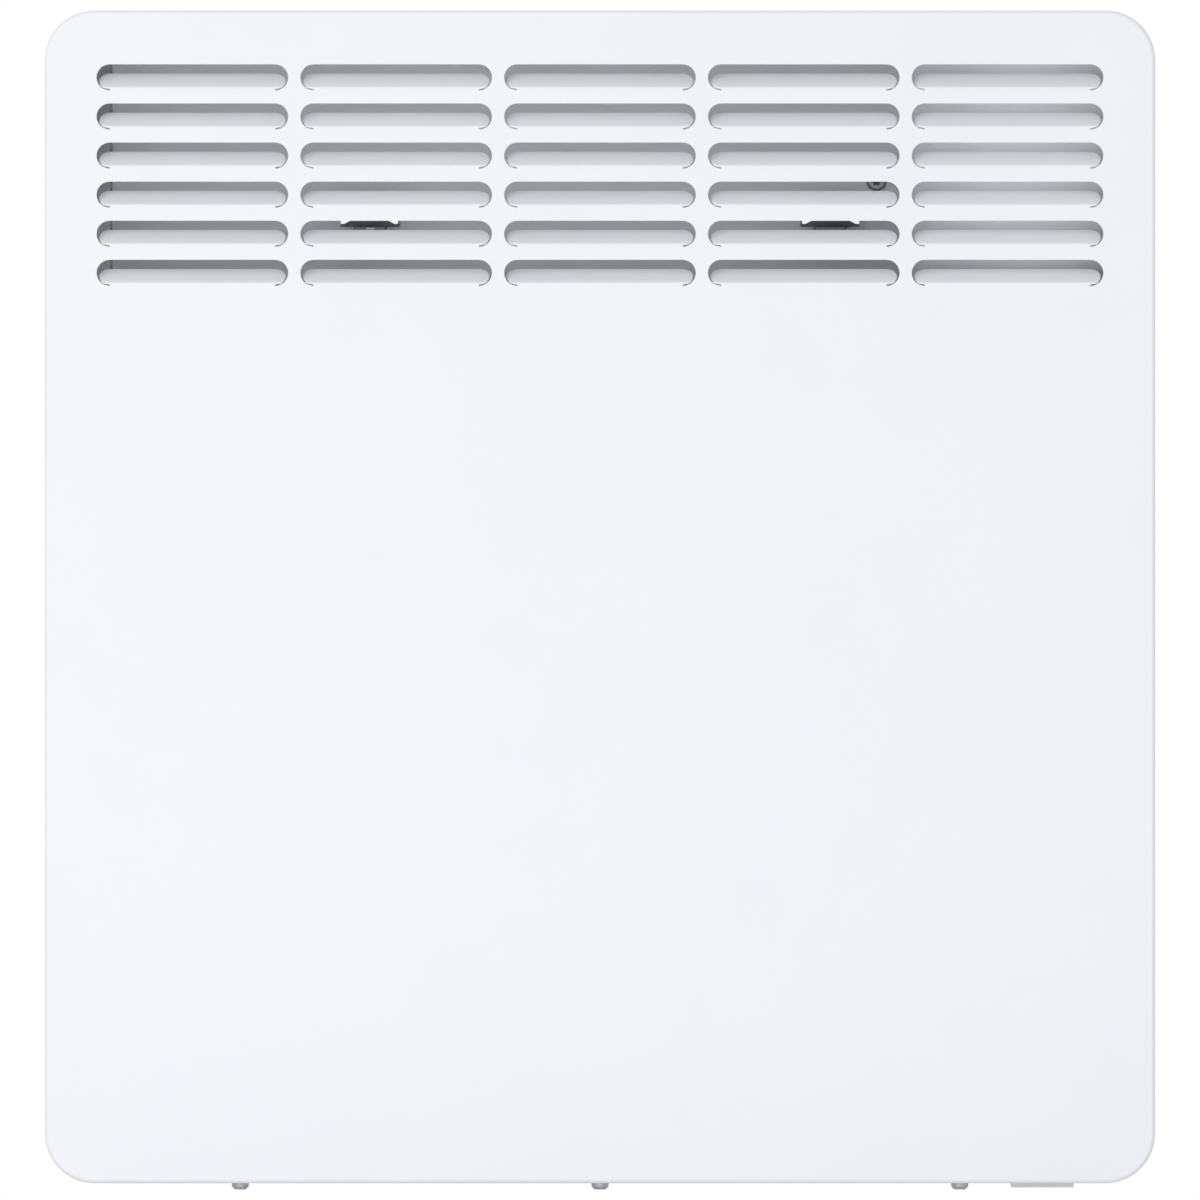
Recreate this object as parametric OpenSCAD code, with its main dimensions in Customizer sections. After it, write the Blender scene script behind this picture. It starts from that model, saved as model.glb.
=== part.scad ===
// Panel convector heater on its wall bracket. Millimetres, +Z up, front towards -Y, wall plane at Y = 0.
// The origin is the middle of the bracket's four wall holes, on the wall.

/* [Casing] */
// Width of the casing
casing_w = 426; // [416:1:500]
// Height of the casing
casing_h = 450; // [436:1:520]
// Depth of the casing, from its front face to its back
casing_depth = 80; // [78:1:95]
// Gap between the wall and the back of the casing
wall_gap = 20; // [20:1:28]
// Radius of the casing's corners, seen from the front
corner_r = 19; // [14:0.5:19.5]
// Radius of the rolled front edge
edge_r = 1.5; // [1.3:0.1:2.5]
// Thickness of the front cover's sheet
cover_sheet = 1; // [0.8:0.1:1.2]
// Depth of the front cover's bottom flange
cover_flange = 16; // [14:1:18]
// Thickness of the rear panel, the intake grille and the inner walls
inner_sheet = 1; // [0.8:0.1:1.2]
// Depth of the rear panel's flange
rear_flange = 10; // [8:1:12]
// Play between two sheets that nest in each other
sheet_play = 0.2; // [0.1:0.05:0.4]

/* [Louvres] */
// Rows of louvres
louvre_rows = 6; // [5:1:6]
// Width of one louvre
slot_w = 73.5; // [60:0.5:74]
// Height of one louvre
slot_h = 10; // [8:0.5:11]
// Distance between the columns of louvres
column_pitch = 78.2; // [76:0.1:82]
// Distance between the rows of louvres
row_pitch = 15; // [13:0.5:16]
// Distance from the casing's top to the first row
first_slot_drop = 20.65; // [20:0.05:26]
// Least distance from the casing's side to the first column
louvre_margin = 17; // [15:1:19]
// Angle by which a flap is folded inwards
flap_angle = 50; // [35:1:55]
// Width of the cut round a flap
flap_cut = 0.4; // [0.3:0.1:0.8]
// Width of the sheet between the two teeth that flank a latch
tooth_gap = 13.6; // [12:0.1:16]
// Width of a tooth at its root
tooth_w = 4.2; // [3:0.1:5]
// Height of a tooth
tooth_h = 1.2; // [0.8:0.1:1.6]

/* [Intake] */
// Columns of intake slots
intake_columns = 5; // [4:1:5]
// Rows of intake slots
intake_rows = 3; // [2:1:3]
// Length of an intake slot
intake_w = 48; // [40:1:50]
// Width of an intake slot
intake_h = 8; // [6:0.5:9]
// Distance between the columns of intake slots
intake_column_pitch = 56; // [54:1:58]
// Distance between the rows of intake slots
intake_row_pitch = 15; // [12:0.5:16]

/* [Inner walls] */
// Distance from the casing's side to the air guide on the left
guide_inset = 25.4; // [22:0.2:30]
// Width of the air guide's foot
guide_foot = 11.4; // [10:0.2:14]
// Distance from the casing's front to the air guide's edge
guide_setback = 10; // [9:0.5:12]
// Distance from the casing's side to the control compartment's wall
compartment_w = 96; // [94:0.5:100]
// Width of the compartment wall's foot
partition_foot = 15.5; // [15:0.5:16]
// Distance from the casing's front to the compartment's front
compartment_setback = 22; // [20:0.5:24]
// Depth of the fold at the compartment's free edge
partition_return = 18; // [10:1:24]
// Thickness of the heat shield
shield_sheet = 0.6; // [0.4:0.1:0.8]
// Height of the heat shield
shield_h = 250; // [180:5:260]
// Distance from the casing's front to the heat shield
shield_setback = 12; // [11:0.5:14]
// Depth of the heat shield's side folds
shield_fold = 16; // [12:0.5:17]

/* [Wall bracket] */
// Thickness of the bracket's sheet
bracket_sheet = 1.5; // [1.2:0.1:2]
// Distance between the bracket's two legs
leg_spacing = 177; // [170:1:184]
// Width of a leg
leg_w = 40; // [38:1:44]
// Height of a cross strap
strap_h = 30; // [20:1:40]
// Distance between the cross straps, middle to middle
strap_spacing = 180; // [160:5:200]
// Distance between the wall holes, up and down
wall_hole_rise = 230; // [226:1:240]
// Radius of a wall hole
wall_hole_r = 3.5; // [2.5:0.25:4]
// Width of the arms that carry the heater
arm_w = 22; // [20:0.5:24]
// Reach of the upper arms, from the wall
arm_reach = 38; // [35:0.5:44]
// Height of the upturned lip of an upper arm
arm_lip_h = 7; // [5:0.5:9]
// Distance from the top of the fifth louvre row down to an upper arm
arm_drop = 1.95; // [1.8:0.05:2.4]
// Distance from the casing's bottom up to the lower hooks
hook_rise = 85; // [80:1:95]
// Height of the lip of a lower hook
hook_lip_h = 8; // [6:0.5:10]

/* [Release latches] */
// Width of a latch
latch_w = 11.7; // [10:0.1:12]
// Thickness of a latch's sheet
latch_sheet = 1.5; // [1.2:0.1:1.6]
// Distance from the wall to the latch's pin
latch_pin_y = 9; // [8.5:0.1:10]
// Radius of the latch's pin
latch_pin_r = 1.5; // [1.2:0.1:1.6]
// Radius of the eye that turns on the pin
latch_eye_r = 3; // [2.8:0.1:3.2]
// Play between the pin and its eye
pin_play = 0.06; // [0.03:0.01:0.1]
// Distance of the latch's eye below the arm
latch_play = 0.3; // [0.3:0.05:0.5]
// How far the latch reaches past the arm's lip
latch_overhang = 6; // [4:0.5:8]
// Height of the catch above the arm
catch_h = 3.7; // [3:0.1:4.5]
// Thickness of the catch
catch_t = 3; // [2:0.25:4]
// Mean radius of the latch's spring
latch_spring_r = 2.9; // [2.4:0.1:3]
// Radius of the latch spring's wire
latch_wire_r = 0.4; // [0.3:0.05:0.45]
// Turns of the latch's spring
latch_spring_turns = 5; // [4:1:6]
// Height of the latch's spring
latch_spring_h = 13.2; // [12:0.2:14]

/* [Heating element] */
// Height of the element above the casing's bottom
element_rise = 75; // [70:1:85]
// Distance from the casing's front to the element's axis
element_setback = 45; // [43:0.5:48]
// Radius of the heating rod
rod_r = 3.95; // [3:0.05:4.5]
// Play between the rod and what it passes through
rod_play = 0.05; // [0.03:0.01:0.1]
// Outer radius of the finned body's tube
fin_tube_r = 6.5; // [6:0.1:7]
// Reach of a fin from the axis
fin_reach = 24; // [18:0.5:25]
// Thickness of a fin
fin_t = 1.6; // [1.2:0.1:2]
// Length of a cross rib on a fin
rib_w = 9; // [6:0.5:10]
// Gap between the finned body and a bush
fin_gap = 2; // [1:0.5:4]
// Stand-off of an element bracket from its wall
element_standoff = 13; // [12:0.5:15]
// Half height of an element bracket's box
element_box_h = 16; // [14:0.5:18]
// Height of an element bracket's tab
element_tab_h = 12; // [11:0.5:14]
// Width of an element bracket
element_bracket_w = 30; // [24:1:34]
// Radius of a bush where it passes its bracket
bush_r = 7; // [6:0.1:7.5]
// Radius of a bush's collar
bush_collar_r = 9.5; // [9:0.1:11]
// Thickness of a bush's collar
bush_collar_t = 2; // [1.5:0.1:3]

/* [Control unit] */
// Width of the fascia
fascia_w = 66; // [64:0.5:68]
// Depth of the fascia
fascia_d = 38; // [37:0.5:39]
// Distance from the fascia's front edge to the casing's front
fascia_setback = 26; // [25:0.5:27]
// Width of the fascia's hidden rim
fascia_rim = 2; // [1.5:0.1:2.5]
// Thickness of the fascia's hidden rim
fascia_rim_t = 2; // [1.5:0.1:2.5]
// Width of the display window
window_w = 38; // [34:0.5:42]
// Depth of the display window
window_d = 15; // [12:0.5:16]
// Radius of a button
button_r = 4; // [3.5:0.1:4.4]
// Distance between the buttons
button_pitch = 14.5; // [13:0.5:15]
// Play round a button
button_play = 0.35; // [0.3:0.05:0.5]
// Travel of a button
button_travel = 0.8; // [0.5:0.1:0.9]
// Depth of a button's face below the fascia
button_sink = 0.4; // [0.3:0.1:0.8]
// Thickness of a circuit board
board_t = 1.6; // [1.2:0.1:2]

/* [Mains side] */
// Width of the power board
power_board_w = 66; // [60:1:68]
// Height of the power board
power_board_h = 112; // [100:1:120]
// Length of the posts under the power board
board_post_h = 8; // [6:0.5:10]
// Width of the switch frame's bezel
bezel_w = 24; // [22:0.5:26]
// Depth of the switch frame's bezel
bezel_d = 31; // [29:0.5:34]
// How far the bezel stands below the casing
bezel_drop = 2.1; // [1.6:0.1:3]
// Half length of the rocker
rocker_half = 10.5; // [9:0.5:11]
// Width of the rocker
rocker_w = 15; // [13:0.5:16]
// Tilt of the rocker to each side
rocker_tilt = 8; // [6:0.5:9]
// Radius of the bore in the cord gland
gland_bore_r = 4; // [3:0.25:4.5]
// Distance from the casing's side to the switch and the gland
switch_inset = 43; // [42:0.5:45]

/* [Fasteners] */
// Head radius of the screws under the casing
cover_head_r = 3.3; // [3:0.1:4]
// Head height of the screws under the casing
cover_head_h = 2.5; // [2:0.1:3]
// Radius of the flat face on such a head
cover_face_r = 2.05; // [1.9:0.05:2.4]
// Distance between the screws under the casing
cover_screw_pitch = 138.1; // [120:0.5:145]
// Head radius of the screws inside
inner_head_r = 3.8; // [3.2:0.1:4]
// Head height of the screws inside
inner_head_h = 2.3; // [1.8:0.1:2.6]
// Radius of the flat face on such a head
inner_face_r = 2.9; // [2.5:0.1:3]
// Shank radius of all screws
shank_r = 1.75; // [1.5:0.05:1.9]
// Play between a shank and its hole
screw_play = 0.15; // [0.1:0.05:0.3]
// Radius of an insulated wire
wire_r = 1.1; // [0.8:0.1:1.3]

/* [Hidden] */
$fn = 48;

// A cut reaches this far past the faces that it opens
past = 1;

// Planes of the casing
side_x = casing_w / 2;
top_z = casing_h / 2;
bottom_z = -casing_h / 2;
back_y = -wall_gap;
front_y = back_y - casing_depth;
cover_inner_y = front_y + cover_sheet;
rear_inner_y = back_y - inner_sheet;
roof_z = top_z - cover_sheet;
grille_bottom_z = bottom_z + cover_sheet;
grille_top_z = grille_bottom_z + inner_sheet;
straight_x = side_x - corner_r;
straight_z = top_z - corner_r;

// Louvres: whole columns that fit between the margins, and the rows' top edges
louvre_columns = floor((casing_w - 2 * louvre_margin + column_pitch - slot_w) / column_pitch);
function column_x(i) = (i - (louvre_columns - 1) / 2) * column_pitch;
function row_top_z(j) = top_z - first_slot_drop - j * row_pitch;
latch_row = 4;
fold_relief = 0.5;

// Rear panel
rear_top_z = roof_z - sheet_play;
rear_w = casing_w - 2 * (cover_sheet + sheet_play);
rear_h = rear_top_z - grille_top_z;
rear_mid_z = (rear_top_z + grille_top_z) / 2;
rear_r = corner_r - cover_sheet - sheet_play;

// Inner walls
guide_x = -side_x + guide_inset;
guide_front_y = front_y + guide_setback;
partition_x = side_x - compartment_w;
partition_front_y = front_y + compartment_setback;
partition_end_x = straight_x;
wall_bottom_z = grille_top_z + inner_sheet + sheet_play;

// Wall bracket and what passes the rear panel
arm_x = leg_spacing / 2;
arm_z = row_top_z(latch_row) - arm_drop;
arm_top_z = arm_z + bracket_sheet;
lip_y = -arm_reach + bracket_sheet;
hook_top_z = bottom_z + hook_rise;
hook_gap = 0.5;
hook_lip_y = rear_inner_y - hook_gap;
leg_over_arm = 6;
leg_under_hook = 12;
leg_top_z = arm_top_z + leg_over_arm;
leg_bottom_z = hook_top_z - leg_under_hook;
window_play = 0.5;
window_by_latch = 0.45;
window_over_arm = 1.2;
window_below_arm = 0.3;
latch_window_h = 8.5;
window_top_z = arm_top_z + window_over_arm;
window_bottom_z = arm_z - latch_window_h;
hook_window_h = 14;
arm_chamfer = 1.4;

// Latches
pin_y = -latch_pin_y;
pin_z = arm_z - latch_play - latch_eye_r;
latch_plate_drop = 0.1;
latch_top_z = arm_z - latch_play - latch_plate_drop;
latch_under_z = latch_top_z - latch_sheet;
latch_tip_y = -arm_reach - latch_overhang;
catch_gap = 1;
catch_y = rear_inner_y - catch_gap;
catch_w = latch_w - 1.7;
catch_slot_play = 1.3;
catch_slot_reach = 6;
pin_head_r = 2.6;
pin_head_t = 1;
spring_y = -16;
spring_seat_z = latch_under_z - latch_spring_h;
spring_seat_w = 12;
spring_seat_y = -19.5;

// Heating element
element_y = front_y + element_setback;
element_z = bottom_z + element_rise;
guide_face_x = guide_x + inner_sheet / 2;
partition_face_x = partition_x - inner_sheet / 2;
left_plate_x = guide_face_x + element_standoff;
right_plate_x = partition_face_x - element_standoff;
rod_end_gap = 8;
terminal_pin_r = 1.2;
terminal_pin_l = 5;

// Control unit
fascia_shift = 40;
fascia_x = partition_x + fascia_shift;
fascia_front_y = front_y + fascia_setback;
fascia_back_y = fascia_front_y + fascia_d;
fascia_mid_y = (fascia_front_y + fascia_back_y) / 2;
rim_under_z = roof_z - fascia_rim_t;
button_inset = 8;
window_inset = 5;
button_y = fascia_front_y + button_inset;
window_y = fascia_back_y - window_inset - window_d / 2;
button_play_down = 0.3;
button_flange_t = 1;
button_flange_r = button_r + button_play + 0.9;
button_face_z = top_z - button_sink;
button_flange_z = rim_under_z - button_play_down - button_flange_t;
stem_r = 2;
stem_l = 3;
stem_end_z = button_flange_z - stem_l;
key_body_h = 3.5;
key_w = 6;
key_r = 1.7;
key_gap = 0.15;
key_top_z = stem_end_z - button_travel - key_gap;
key_plunger_h = 1.6;
lens_sink = 1.6;
lens_t = 1.4;
board_top_z = key_top_z - key_plunger_h - key_body_h;

// Power board
compartment_mid_x = (partition_x + side_x) / 2;
power_board_x = compartment_mid_x;
power_board_z = -20;
power_board_y = rear_inner_y - board_post_h;
power_face_y = power_board_y - board_t;
post_inset = 5;
relay_place = [18, 30];
relay_size = [13, 29, 16];
coil_place = [-14, -28];
coil_size = [27, 24, 24];
can_place = [-16, 28];
can_r = 6.3;
can_h = 18;
terminal_shift = 10;
terminal_rise = 76;
terminal_x = compartment_mid_x - terminal_shift;
terminal_z = bottom_z + terminal_rise;
terminal_w = 30;
terminal_h = 20;
terminal_d = 18;
terminal_pitch = 9;
terminal_entry = 6;
terminal_wire_y = rear_inner_y - 5;

// Mains switch and gland
switch_x = side_x - switch_inset;
switch_y = -56;
bezel_z = bottom_z - bezel_drop;
rocker_pivot_rise = 7.4;
rocker_pivot_z = bottom_z + rocker_pivot_rise;
rocker_face = 6.5;
rocker_back = 3;
rocker_pin_r = 1.5;
rocker_pin_play = 0.05;
rocker_play = 0.6;
frame_wall = 1.8;
frame_body_h = 20;
gland_rise = 34;
gland_z = bottom_z + gland_rise;
switch_blade_y = 6;
gland_body_r = 7;
gland_out = 8;
gland_collar_t = 2;
gland_flange_r = 10.5;
frame_w = rocker_w + 2 * (rocker_play + frame_wall);
rocker_end_play = 1.7;
frame_d = 2 * (rocker_half + frame_wall + rocker_end_play);

// Sensor at the intake
sensor_shift = 17;
sensor_x = partition_x + sensor_shift;
sensor_y = -56;
sensor_slot_l = 24;
sensor_slot_w = 3.5;
sensor_slot_pitch = 7;
holder_w = 8;
holder_d = 8;
holder_h = 8;
holder_gap = 2;
holder_floor = 2;
holder_play = 0.1;
sensor_clip_y = sensor_y + sensor_slot_l / 2 + holder_gap + holder_d / 2;
sensor_r = 1.8;
sensor_h = 10;

// Cut-out above the element
cutout_y = element_y;
cutout_rise = 46;
cutout_z = element_z + cutout_rise;
cutout_w = 24;
cutout_tab_h = 16;
cutout_screw_rise = 9;
cutout_screw_z = cutout_z + cutout_screw_rise;
cutout_shelf = 26;
cutout_inset = 14;
cutout_x = partition_face_x - cutout_inset;
cutout_r = 8.5;
cutout_blade_x = 3.5;
cutout_disc_h = 3;
cutout_body_h = 7;
blade_l = 8;
cutout_top_z = cutout_z + cutout_disc_h + cutout_body_h + blade_l;

// Inner walls' tops and holes
guide_top_gap = 12;
guide_top_z = roof_z - guide_top_gap;
element_screw_rise = element_box_h + element_tab_h / 2 + 0.5;
wire_hole_r = 5;
wire_gap_inset = 12;
wire_gap_drop = 40;
wire_gap_y = rear_inner_y - wire_gap_inset;
wire_gap_z = element_z - wire_gap_drop;

// Plate on the back, between the bracket's right leg and the casing's side
plate_w = 60;
plate_h = 36;
plate_shift = 10.75;
plate_rise = 117;
plate_x = (arm_x + leg_w / 2 + side_x) / 2 - plate_shift;
plate_z = bottom_z + plate_rise + plate_h / 2;

// Fasteners
guide_screw_z = 150;
partition_screw_rise = 0.35;
partition_screw_inset = 10.5;
partition_screw_z = row_top_z(3) + partition_screw_rise;
partition_screw_x = partition_x - partition_screw_inset;
guide_screw_x = guide_x + guide_foot / 2;
cover_screw_setback = 8;
cover_screw_y = front_y + cover_screw_setback;
hole_r = shank_r + screw_play;
nut_collar_r = 3.4;
nut_collar_h = 3;
sheet_screw_l = 2 * inner_sheet + 5;
earth_inset = 24;
earth_rise = 28;
earth_x = side_x - earth_inset;
earth_z = terminal_z + earth_rise;
lug_t = 0.8;
lug_r = 5;
wire_touch = 0.25;

// Colours
paint_white = [0.96, 0.965, 0.98];
grey_plastic = [0.8, 0.8, 0.82];
zinc = [0.62, 0.64, 0.66];
dark_steel = [0.25, 0.26, 0.28];
bright_metal = [0.78, 0.79, 0.8];
ceramic_white = [0.9, 0.88, 0.84];
board_green = [0.1, 0.35, 0.2];
black_plastic = [0.08, 0.08, 0.09];

// Repeats its children on both sides of the middle
module both_sides() {
    children();
    mirror([1, 0, 0]) children();
}

// A box given by its lowest and its highest corner
module box_between(low, high) {
    translate(low) cube(high - low);
}

// An outline in (y, z), drawn out along +X
module along_x(x, length) {
    translate([x, 0, 0]) rotate([90, 0, 90]) linear_extrude(length) children();
}

// An outline in (x, z), drawn out towards the front, its back face at y
module to_front(y, length) {
    translate([0, y, 0]) rotate([90, 0, 0]) linear_extrude(length) children();
}

module rod_x(x, y, z, r, length) {
    translate([x, y, z]) rotate([0, 90, 0]) cylinder(r = r, h = length);
}

// A round bar towards the front, its back end at y
module rod_y(x, y, z, r, length) {
    translate([x, y, z]) rotate([90, 0, 0]) cylinder(r = r, h = length);
}

module rod_z(x, y, z, r, length) {
    translate([x, y, z]) cylinder(r = r, h = length);
}

module rounded_outline(w, h, r) {
    square([w, h - 2 * r], center = true);
    square([w - 2 * r, h], center = true);
    for (sx = [-1, 1], sz = [-1, 1]) {
        translate([sx * (w / 2 - r), sz * (h / 2 - r)]) circle(r);
    }
}

module slot_outline(w, h) {
    square([w - h, h], center = true);
    for (s = [-1, 1]) {
        translate([s * (w - h) / 2, 0]) circle(h / 2);
    }
}

// Recess with six lobes, drawn up from the origin
module lobed_recess(r, h) {
    core_r = r * 0.78;
    lobe_r = r * 0.24;
    cylinder(r = core_r, h = h);
    for (turn = [0 : 60 : 300]) {
        rotate([0, 0, turn]) translate([r - lobe_r, 0, 0]) cylinder(r = lobe_r, h = h);
    }
}

// Screw with a lobed recess: seat at the origin, shank along +Z, head along -Z with a flat face
module pan_screw(head_r, head_h, face_r, shank) {
    rim_h = head_h * 0.55;
    recess_r = head_r * 0.5;
    recess_h = head_h * 0.6;
    difference() {
        union() {
            translate([0, 0, -rim_h]) cylinder(r = head_r, h = rim_h);
            translate([0, 0, -head_h]) cylinder(r1 = face_r, r2 = head_r, h = head_h - rim_h);
        }
        translate([0, 0, -head_h - past]) lobed_recess(recess_r, recess_h + past);
    }
    cylinder(r = shank_r, h = shank);
}

// Smooth curve through points, then a tube along it
function curve_at(a, b, c, d, t) =
    0.5 * (2 * b + (c - a) * t + (2 * a - 5 * b + 4 * c - d) * t * t + (3 * b - a - 3 * c + d) * t * t * t);
function curve(p, steps) = [
    for (i = [0 : len(p) - 2], k = [0 : steps - 1])
        curve_at(p[max(i - 1, 0)], p[i], p[i + 1], p[min(i + 2, len(p) - 1)], k / steps),
    p[len(p) - 1]
];
function unit(v) = v / norm(v);
function heading(p, i) = unit(p[min(i + 1, len(p) - 1)] - p[max(i - 1, 0)]);
function across(n, t) = unit(n - (n * t) * t);
function carried(p, i, n) =
    i == len(p) ? [] : let (m = across(n, heading(p, i))) concat([m], carried(p, i + 1, m));

module tube(path, r, sides) {
    start = heading(path, 0);
    first = abs(start[2]) < 0.8 ? [0, 0, 1] : [1, 0, 0];
    normals = carried(path, 0, first);
    last = len(path) - 1;
    points = [
        for (i = [0 : last], k = [0 : sides - 1])
            let (t = heading(path, i), n = normals[i], b = cross(t, n), a = 360 * k / sides)
                path[i] + r * (cos(a) * n + sin(a) * b)
    ];
    walls = [
        for (i = [0 : last - 1], k = [0 : sides - 1])
            let (j = (k + 1) % sides, a = i * sides, b = (i + 1) * sides)
                each [[a + k, b + k, b + j], [a + k, b + j, a + j]]
    ];
    low_end = [for (k = [0 : sides - 1]) k];
    high_end = [for (k = [sides - 1 : -1 : 0]) last * sides + k];
    polyhedron(points, concat([low_end], walls, [high_end]));
}

module wire(points) {
    tube(curve(points, 3), wire_r, 8);
}

// Section of the cover's wall: x runs outwards from a corner's centre, y back from the front
module cover_section(depth) {
    roll_x = corner_r - edge_r;
    square([roll_x, cover_sheet]);
    translate([corner_r - cover_sheet, edge_r]) square([cover_sheet, depth - edge_r]);
    translate([roll_x, edge_r]) intersection() {
        difference() {
            circle(edge_r);
            circle(edge_r - cover_sheet);
        }
        translate([0, -edge_r]) square(edge_r);
    }
}

module cover_corner() {
    translate([straight_x, front_y, -straight_z]) rotate([-90, 0, 0]) {
        rotate_extrude(angle = 90) cover_section(casing_depth);
    }
}

module cover_side() {
    translate([straight_x, front_y, -straight_z]) {
        linear_extrude(2 * straight_z) cover_section(casing_depth);
    }
}

module cover_top_wall(depth) {
    translate([straight_x, front_y, straight_z]) rotate([0, -90, 0]) {
        linear_extrude(2 * straight_x) cover_section(depth);
    }
}

module cover_shell() {
    to_front(cover_inner_y, cover_sheet) square([2 * straight_x, 2 * straight_z], center = true);
    both_sides() {
        cover_side();
        cover_corner();
        mirror([0, 0, 1]) cover_corner();
    }
    cover_top_wall(casing_depth);
    mirror([0, 0, 1]) cover_top_wall(cover_flange);
}

// One flap, folded in about the straight lower edge of its louvre and notched beside the fold
module louvre_flap() {
    fold_w = slot_w - slot_h - 2 * fold_relief;
    notch_h = (cover_sheet + flap_cut / 2) / sin(flap_angle);
    rotate([-flap_angle, 0, 0]) to_front(cover_sheet, cover_sheet) {
        translate([-fold_w / 2, 0]) square([fold_w, slot_h / 2]);
        intersection() {
            translate([0, slot_h / 2]) slot_outline(slot_w - 2 * flap_cut, slot_h - 2 * flap_cut);
            translate([-slot_w / 2, notch_h]) square([slot_w, slot_h]);
        }
    }
}

// Two teeth in the upper edge of a louvre, to both sides of a latch
module latch_teeth() {
    root = 0.3;
    tip_w = 1.4;
    both_sides() to_front(cover_inner_y, cover_sheet) {
        polygon([
            [tooth_gap / 2, root],
            [tooth_gap / 2 + tooth_w, root],
            [tooth_gap / 2 + tooth_w, -tooth_h],
            [tooth_gap / 2 + tooth_w - tip_w, -tooth_h]
        ]);
    }
}

module fascia_opening(w, d, z, h) {
    box_between(
        [fascia_x - w / 2, fascia_mid_y - d / 2, z],
        [fascia_x + w / 2, fascia_mid_y + d / 2, z + h]
    );
}

module front_cover() {
    color(paint_white) {
        difference() {
            cover_shell();
            for (i = [0 : louvre_columns - 1], j = [0 : louvre_rows - 1]) {
                translate([column_x(i), cover_inner_y + past, row_top_z(j) - slot_h / 2]) {
                    to_front(0, cover_sheet + 2 * past) slot_outline(slot_w, slot_h);
                }
            }
            fascia_opening(fascia_w + 2 * sheet_play, fascia_d + 2 * sheet_play, roof_z - past, 4 * past);
            for (i = [-1 : 1]) {
                rod_z(i * cover_screw_pitch, cover_screw_y, bottom_z - past, hole_r, cover_sheet + 2 * past);
            }
        }
        for (i = [0 : louvre_columns - 1], j = [0 : louvre_rows - 1]) {
            translate([column_x(i), front_y, row_top_z(j) - slot_h]) louvre_flap();
        }
        for (s = [-1, 1]) {
            translate([s * arm_x, 0, row_top_z(latch_row)]) latch_teeth();
        }
    }
}

// The two windows on one side, cut through the rear panel: wide for an arm, narrow below it for the latch
module rear_windows() {
    arm_window_w = arm_w + 2 * window_play;
    latch_window_w = latch_w + 2 * window_by_latch;
    box_between(
        [arm_x - arm_window_w / 2, rear_inner_y - past, arm_z - window_below_arm],
        [arm_x + arm_window_w / 2, back_y + past, window_top_z]
    );
    box_between(
        [arm_x - latch_window_w / 2, rear_inner_y - past, window_bottom_z],
        [arm_x + latch_window_w / 2, back_y + past, arm_z]
    );
    box_between(
        [arm_x - arm_window_w / 2, rear_inner_y - past, hook_top_z - hook_window_h],
        [arm_x + arm_window_w / 2, back_y + past, hook_top_z]
    );
}

module rear_panel() {
    through = inner_sheet + 2 * past;
    color(paint_white) difference() {
        union() {
            translate([0, 0, rear_mid_z]) to_front(back_y, inner_sheet) {
                rounded_outline(rear_w, rear_h, rear_r);
            }
            translate([0, 0, rear_mid_z]) to_front(rear_inner_y, rear_flange) difference() {
                rounded_outline(rear_w, rear_h, rear_r);
                rounded_outline(rear_w - 2 * inner_sheet, rear_h - 2 * inner_sheet, rear_r - inner_sheet);
            }
        }
        both_sides() rear_windows();
        for (s = [-1, 1]) {
            rod_y(partition_screw_x, back_y + past, s * partition_screw_z, hole_r, through);
            rod_y(guide_screw_x, back_y + past, s * guide_screw_z, hole_r, through);
        }
        rod_y(earth_x, back_y + past, earth_z, hole_r, through);
        rod_y(switch_x, back_y + past, gland_z, gland_body_r + sheet_play, through);
    }
}

module intake_grille() {
    half_w = straight_x - sheet_play;
    zone_x = (guide_x + partition_x) / 2;
    zone_y = (cover_screw_y + nut_collar_r + rear_inner_y - rear_flange) / 2;
    color(paint_white) difference() {
        union() {
            box_between(
                [-half_w, front_y + edge_r + sheet_play, grille_bottom_z],
                [half_w, back_y, grille_top_z]
            );
            for (i = [-1 : 1]) {
                rod_z(i * cover_screw_pitch, cover_screw_y, grille_top_z, nut_collar_r, nut_collar_h);
            }
        }
        for (i = [0 : intake_columns - 1], j = [0 : intake_rows - 1]) {
            translate([
                zone_x + (i - (intake_columns - 1) / 2) * intake_column_pitch,
                zone_y + (j - (intake_rows - 1) / 2) * intake_row_pitch,
                grille_bottom_z - past
            ]) linear_extrude(inner_sheet + 2 * past) slot_outline(intake_w, intake_h);
        }
        for (i = [-1 : 1]) {
            translate([sensor_x + i * sensor_slot_pitch, sensor_y, grille_bottom_z - past]) {
                linear_extrude(inner_sheet + 2 * past) rotate(90) slot_outline(sensor_slot_l, sensor_slot_w);
            }
            rod_z(i * cover_screw_pitch, cover_screw_y, grille_bottom_z - past, hole_r,
                inner_sheet + nut_collar_h + 2 * past);
        }
        box_between(
            [switch_x - frame_w / 2 - sheet_play, switch_y - frame_d / 2 - sheet_play, grille_bottom_z - past],
            [switch_x + frame_w / 2 + sheet_play, switch_y + frame_d / 2 + sheet_play, grille_top_z + past]
        );
    }
}

// Wall of the air duct on the left, with its foot on the rear panel
module left_air_guide() {
    color(paint_white) difference() {
        translate([0, 0, wall_bottom_z]) linear_extrude(guide_top_z - wall_bottom_z) {
            translate([guide_x - inner_sheet / 2, guide_front_y]) {
                square([inner_sheet, rear_inner_y - guide_front_y]);
            }
            translate([guide_x - inner_sheet / 2, rear_inner_y - inner_sheet]) {
                square([guide_foot, inner_sheet]);
            }
        }
        for (s = [-1, 1]) {
            rod_y(guide_screw_x, rear_inner_y + past, s * guide_screw_z, hole_r, inner_sheet + 2 * past);
            rod_x(guide_x - past, element_y, element_z + s * element_screw_rise, hole_r, 2 * past);
        }
    }
}

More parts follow.
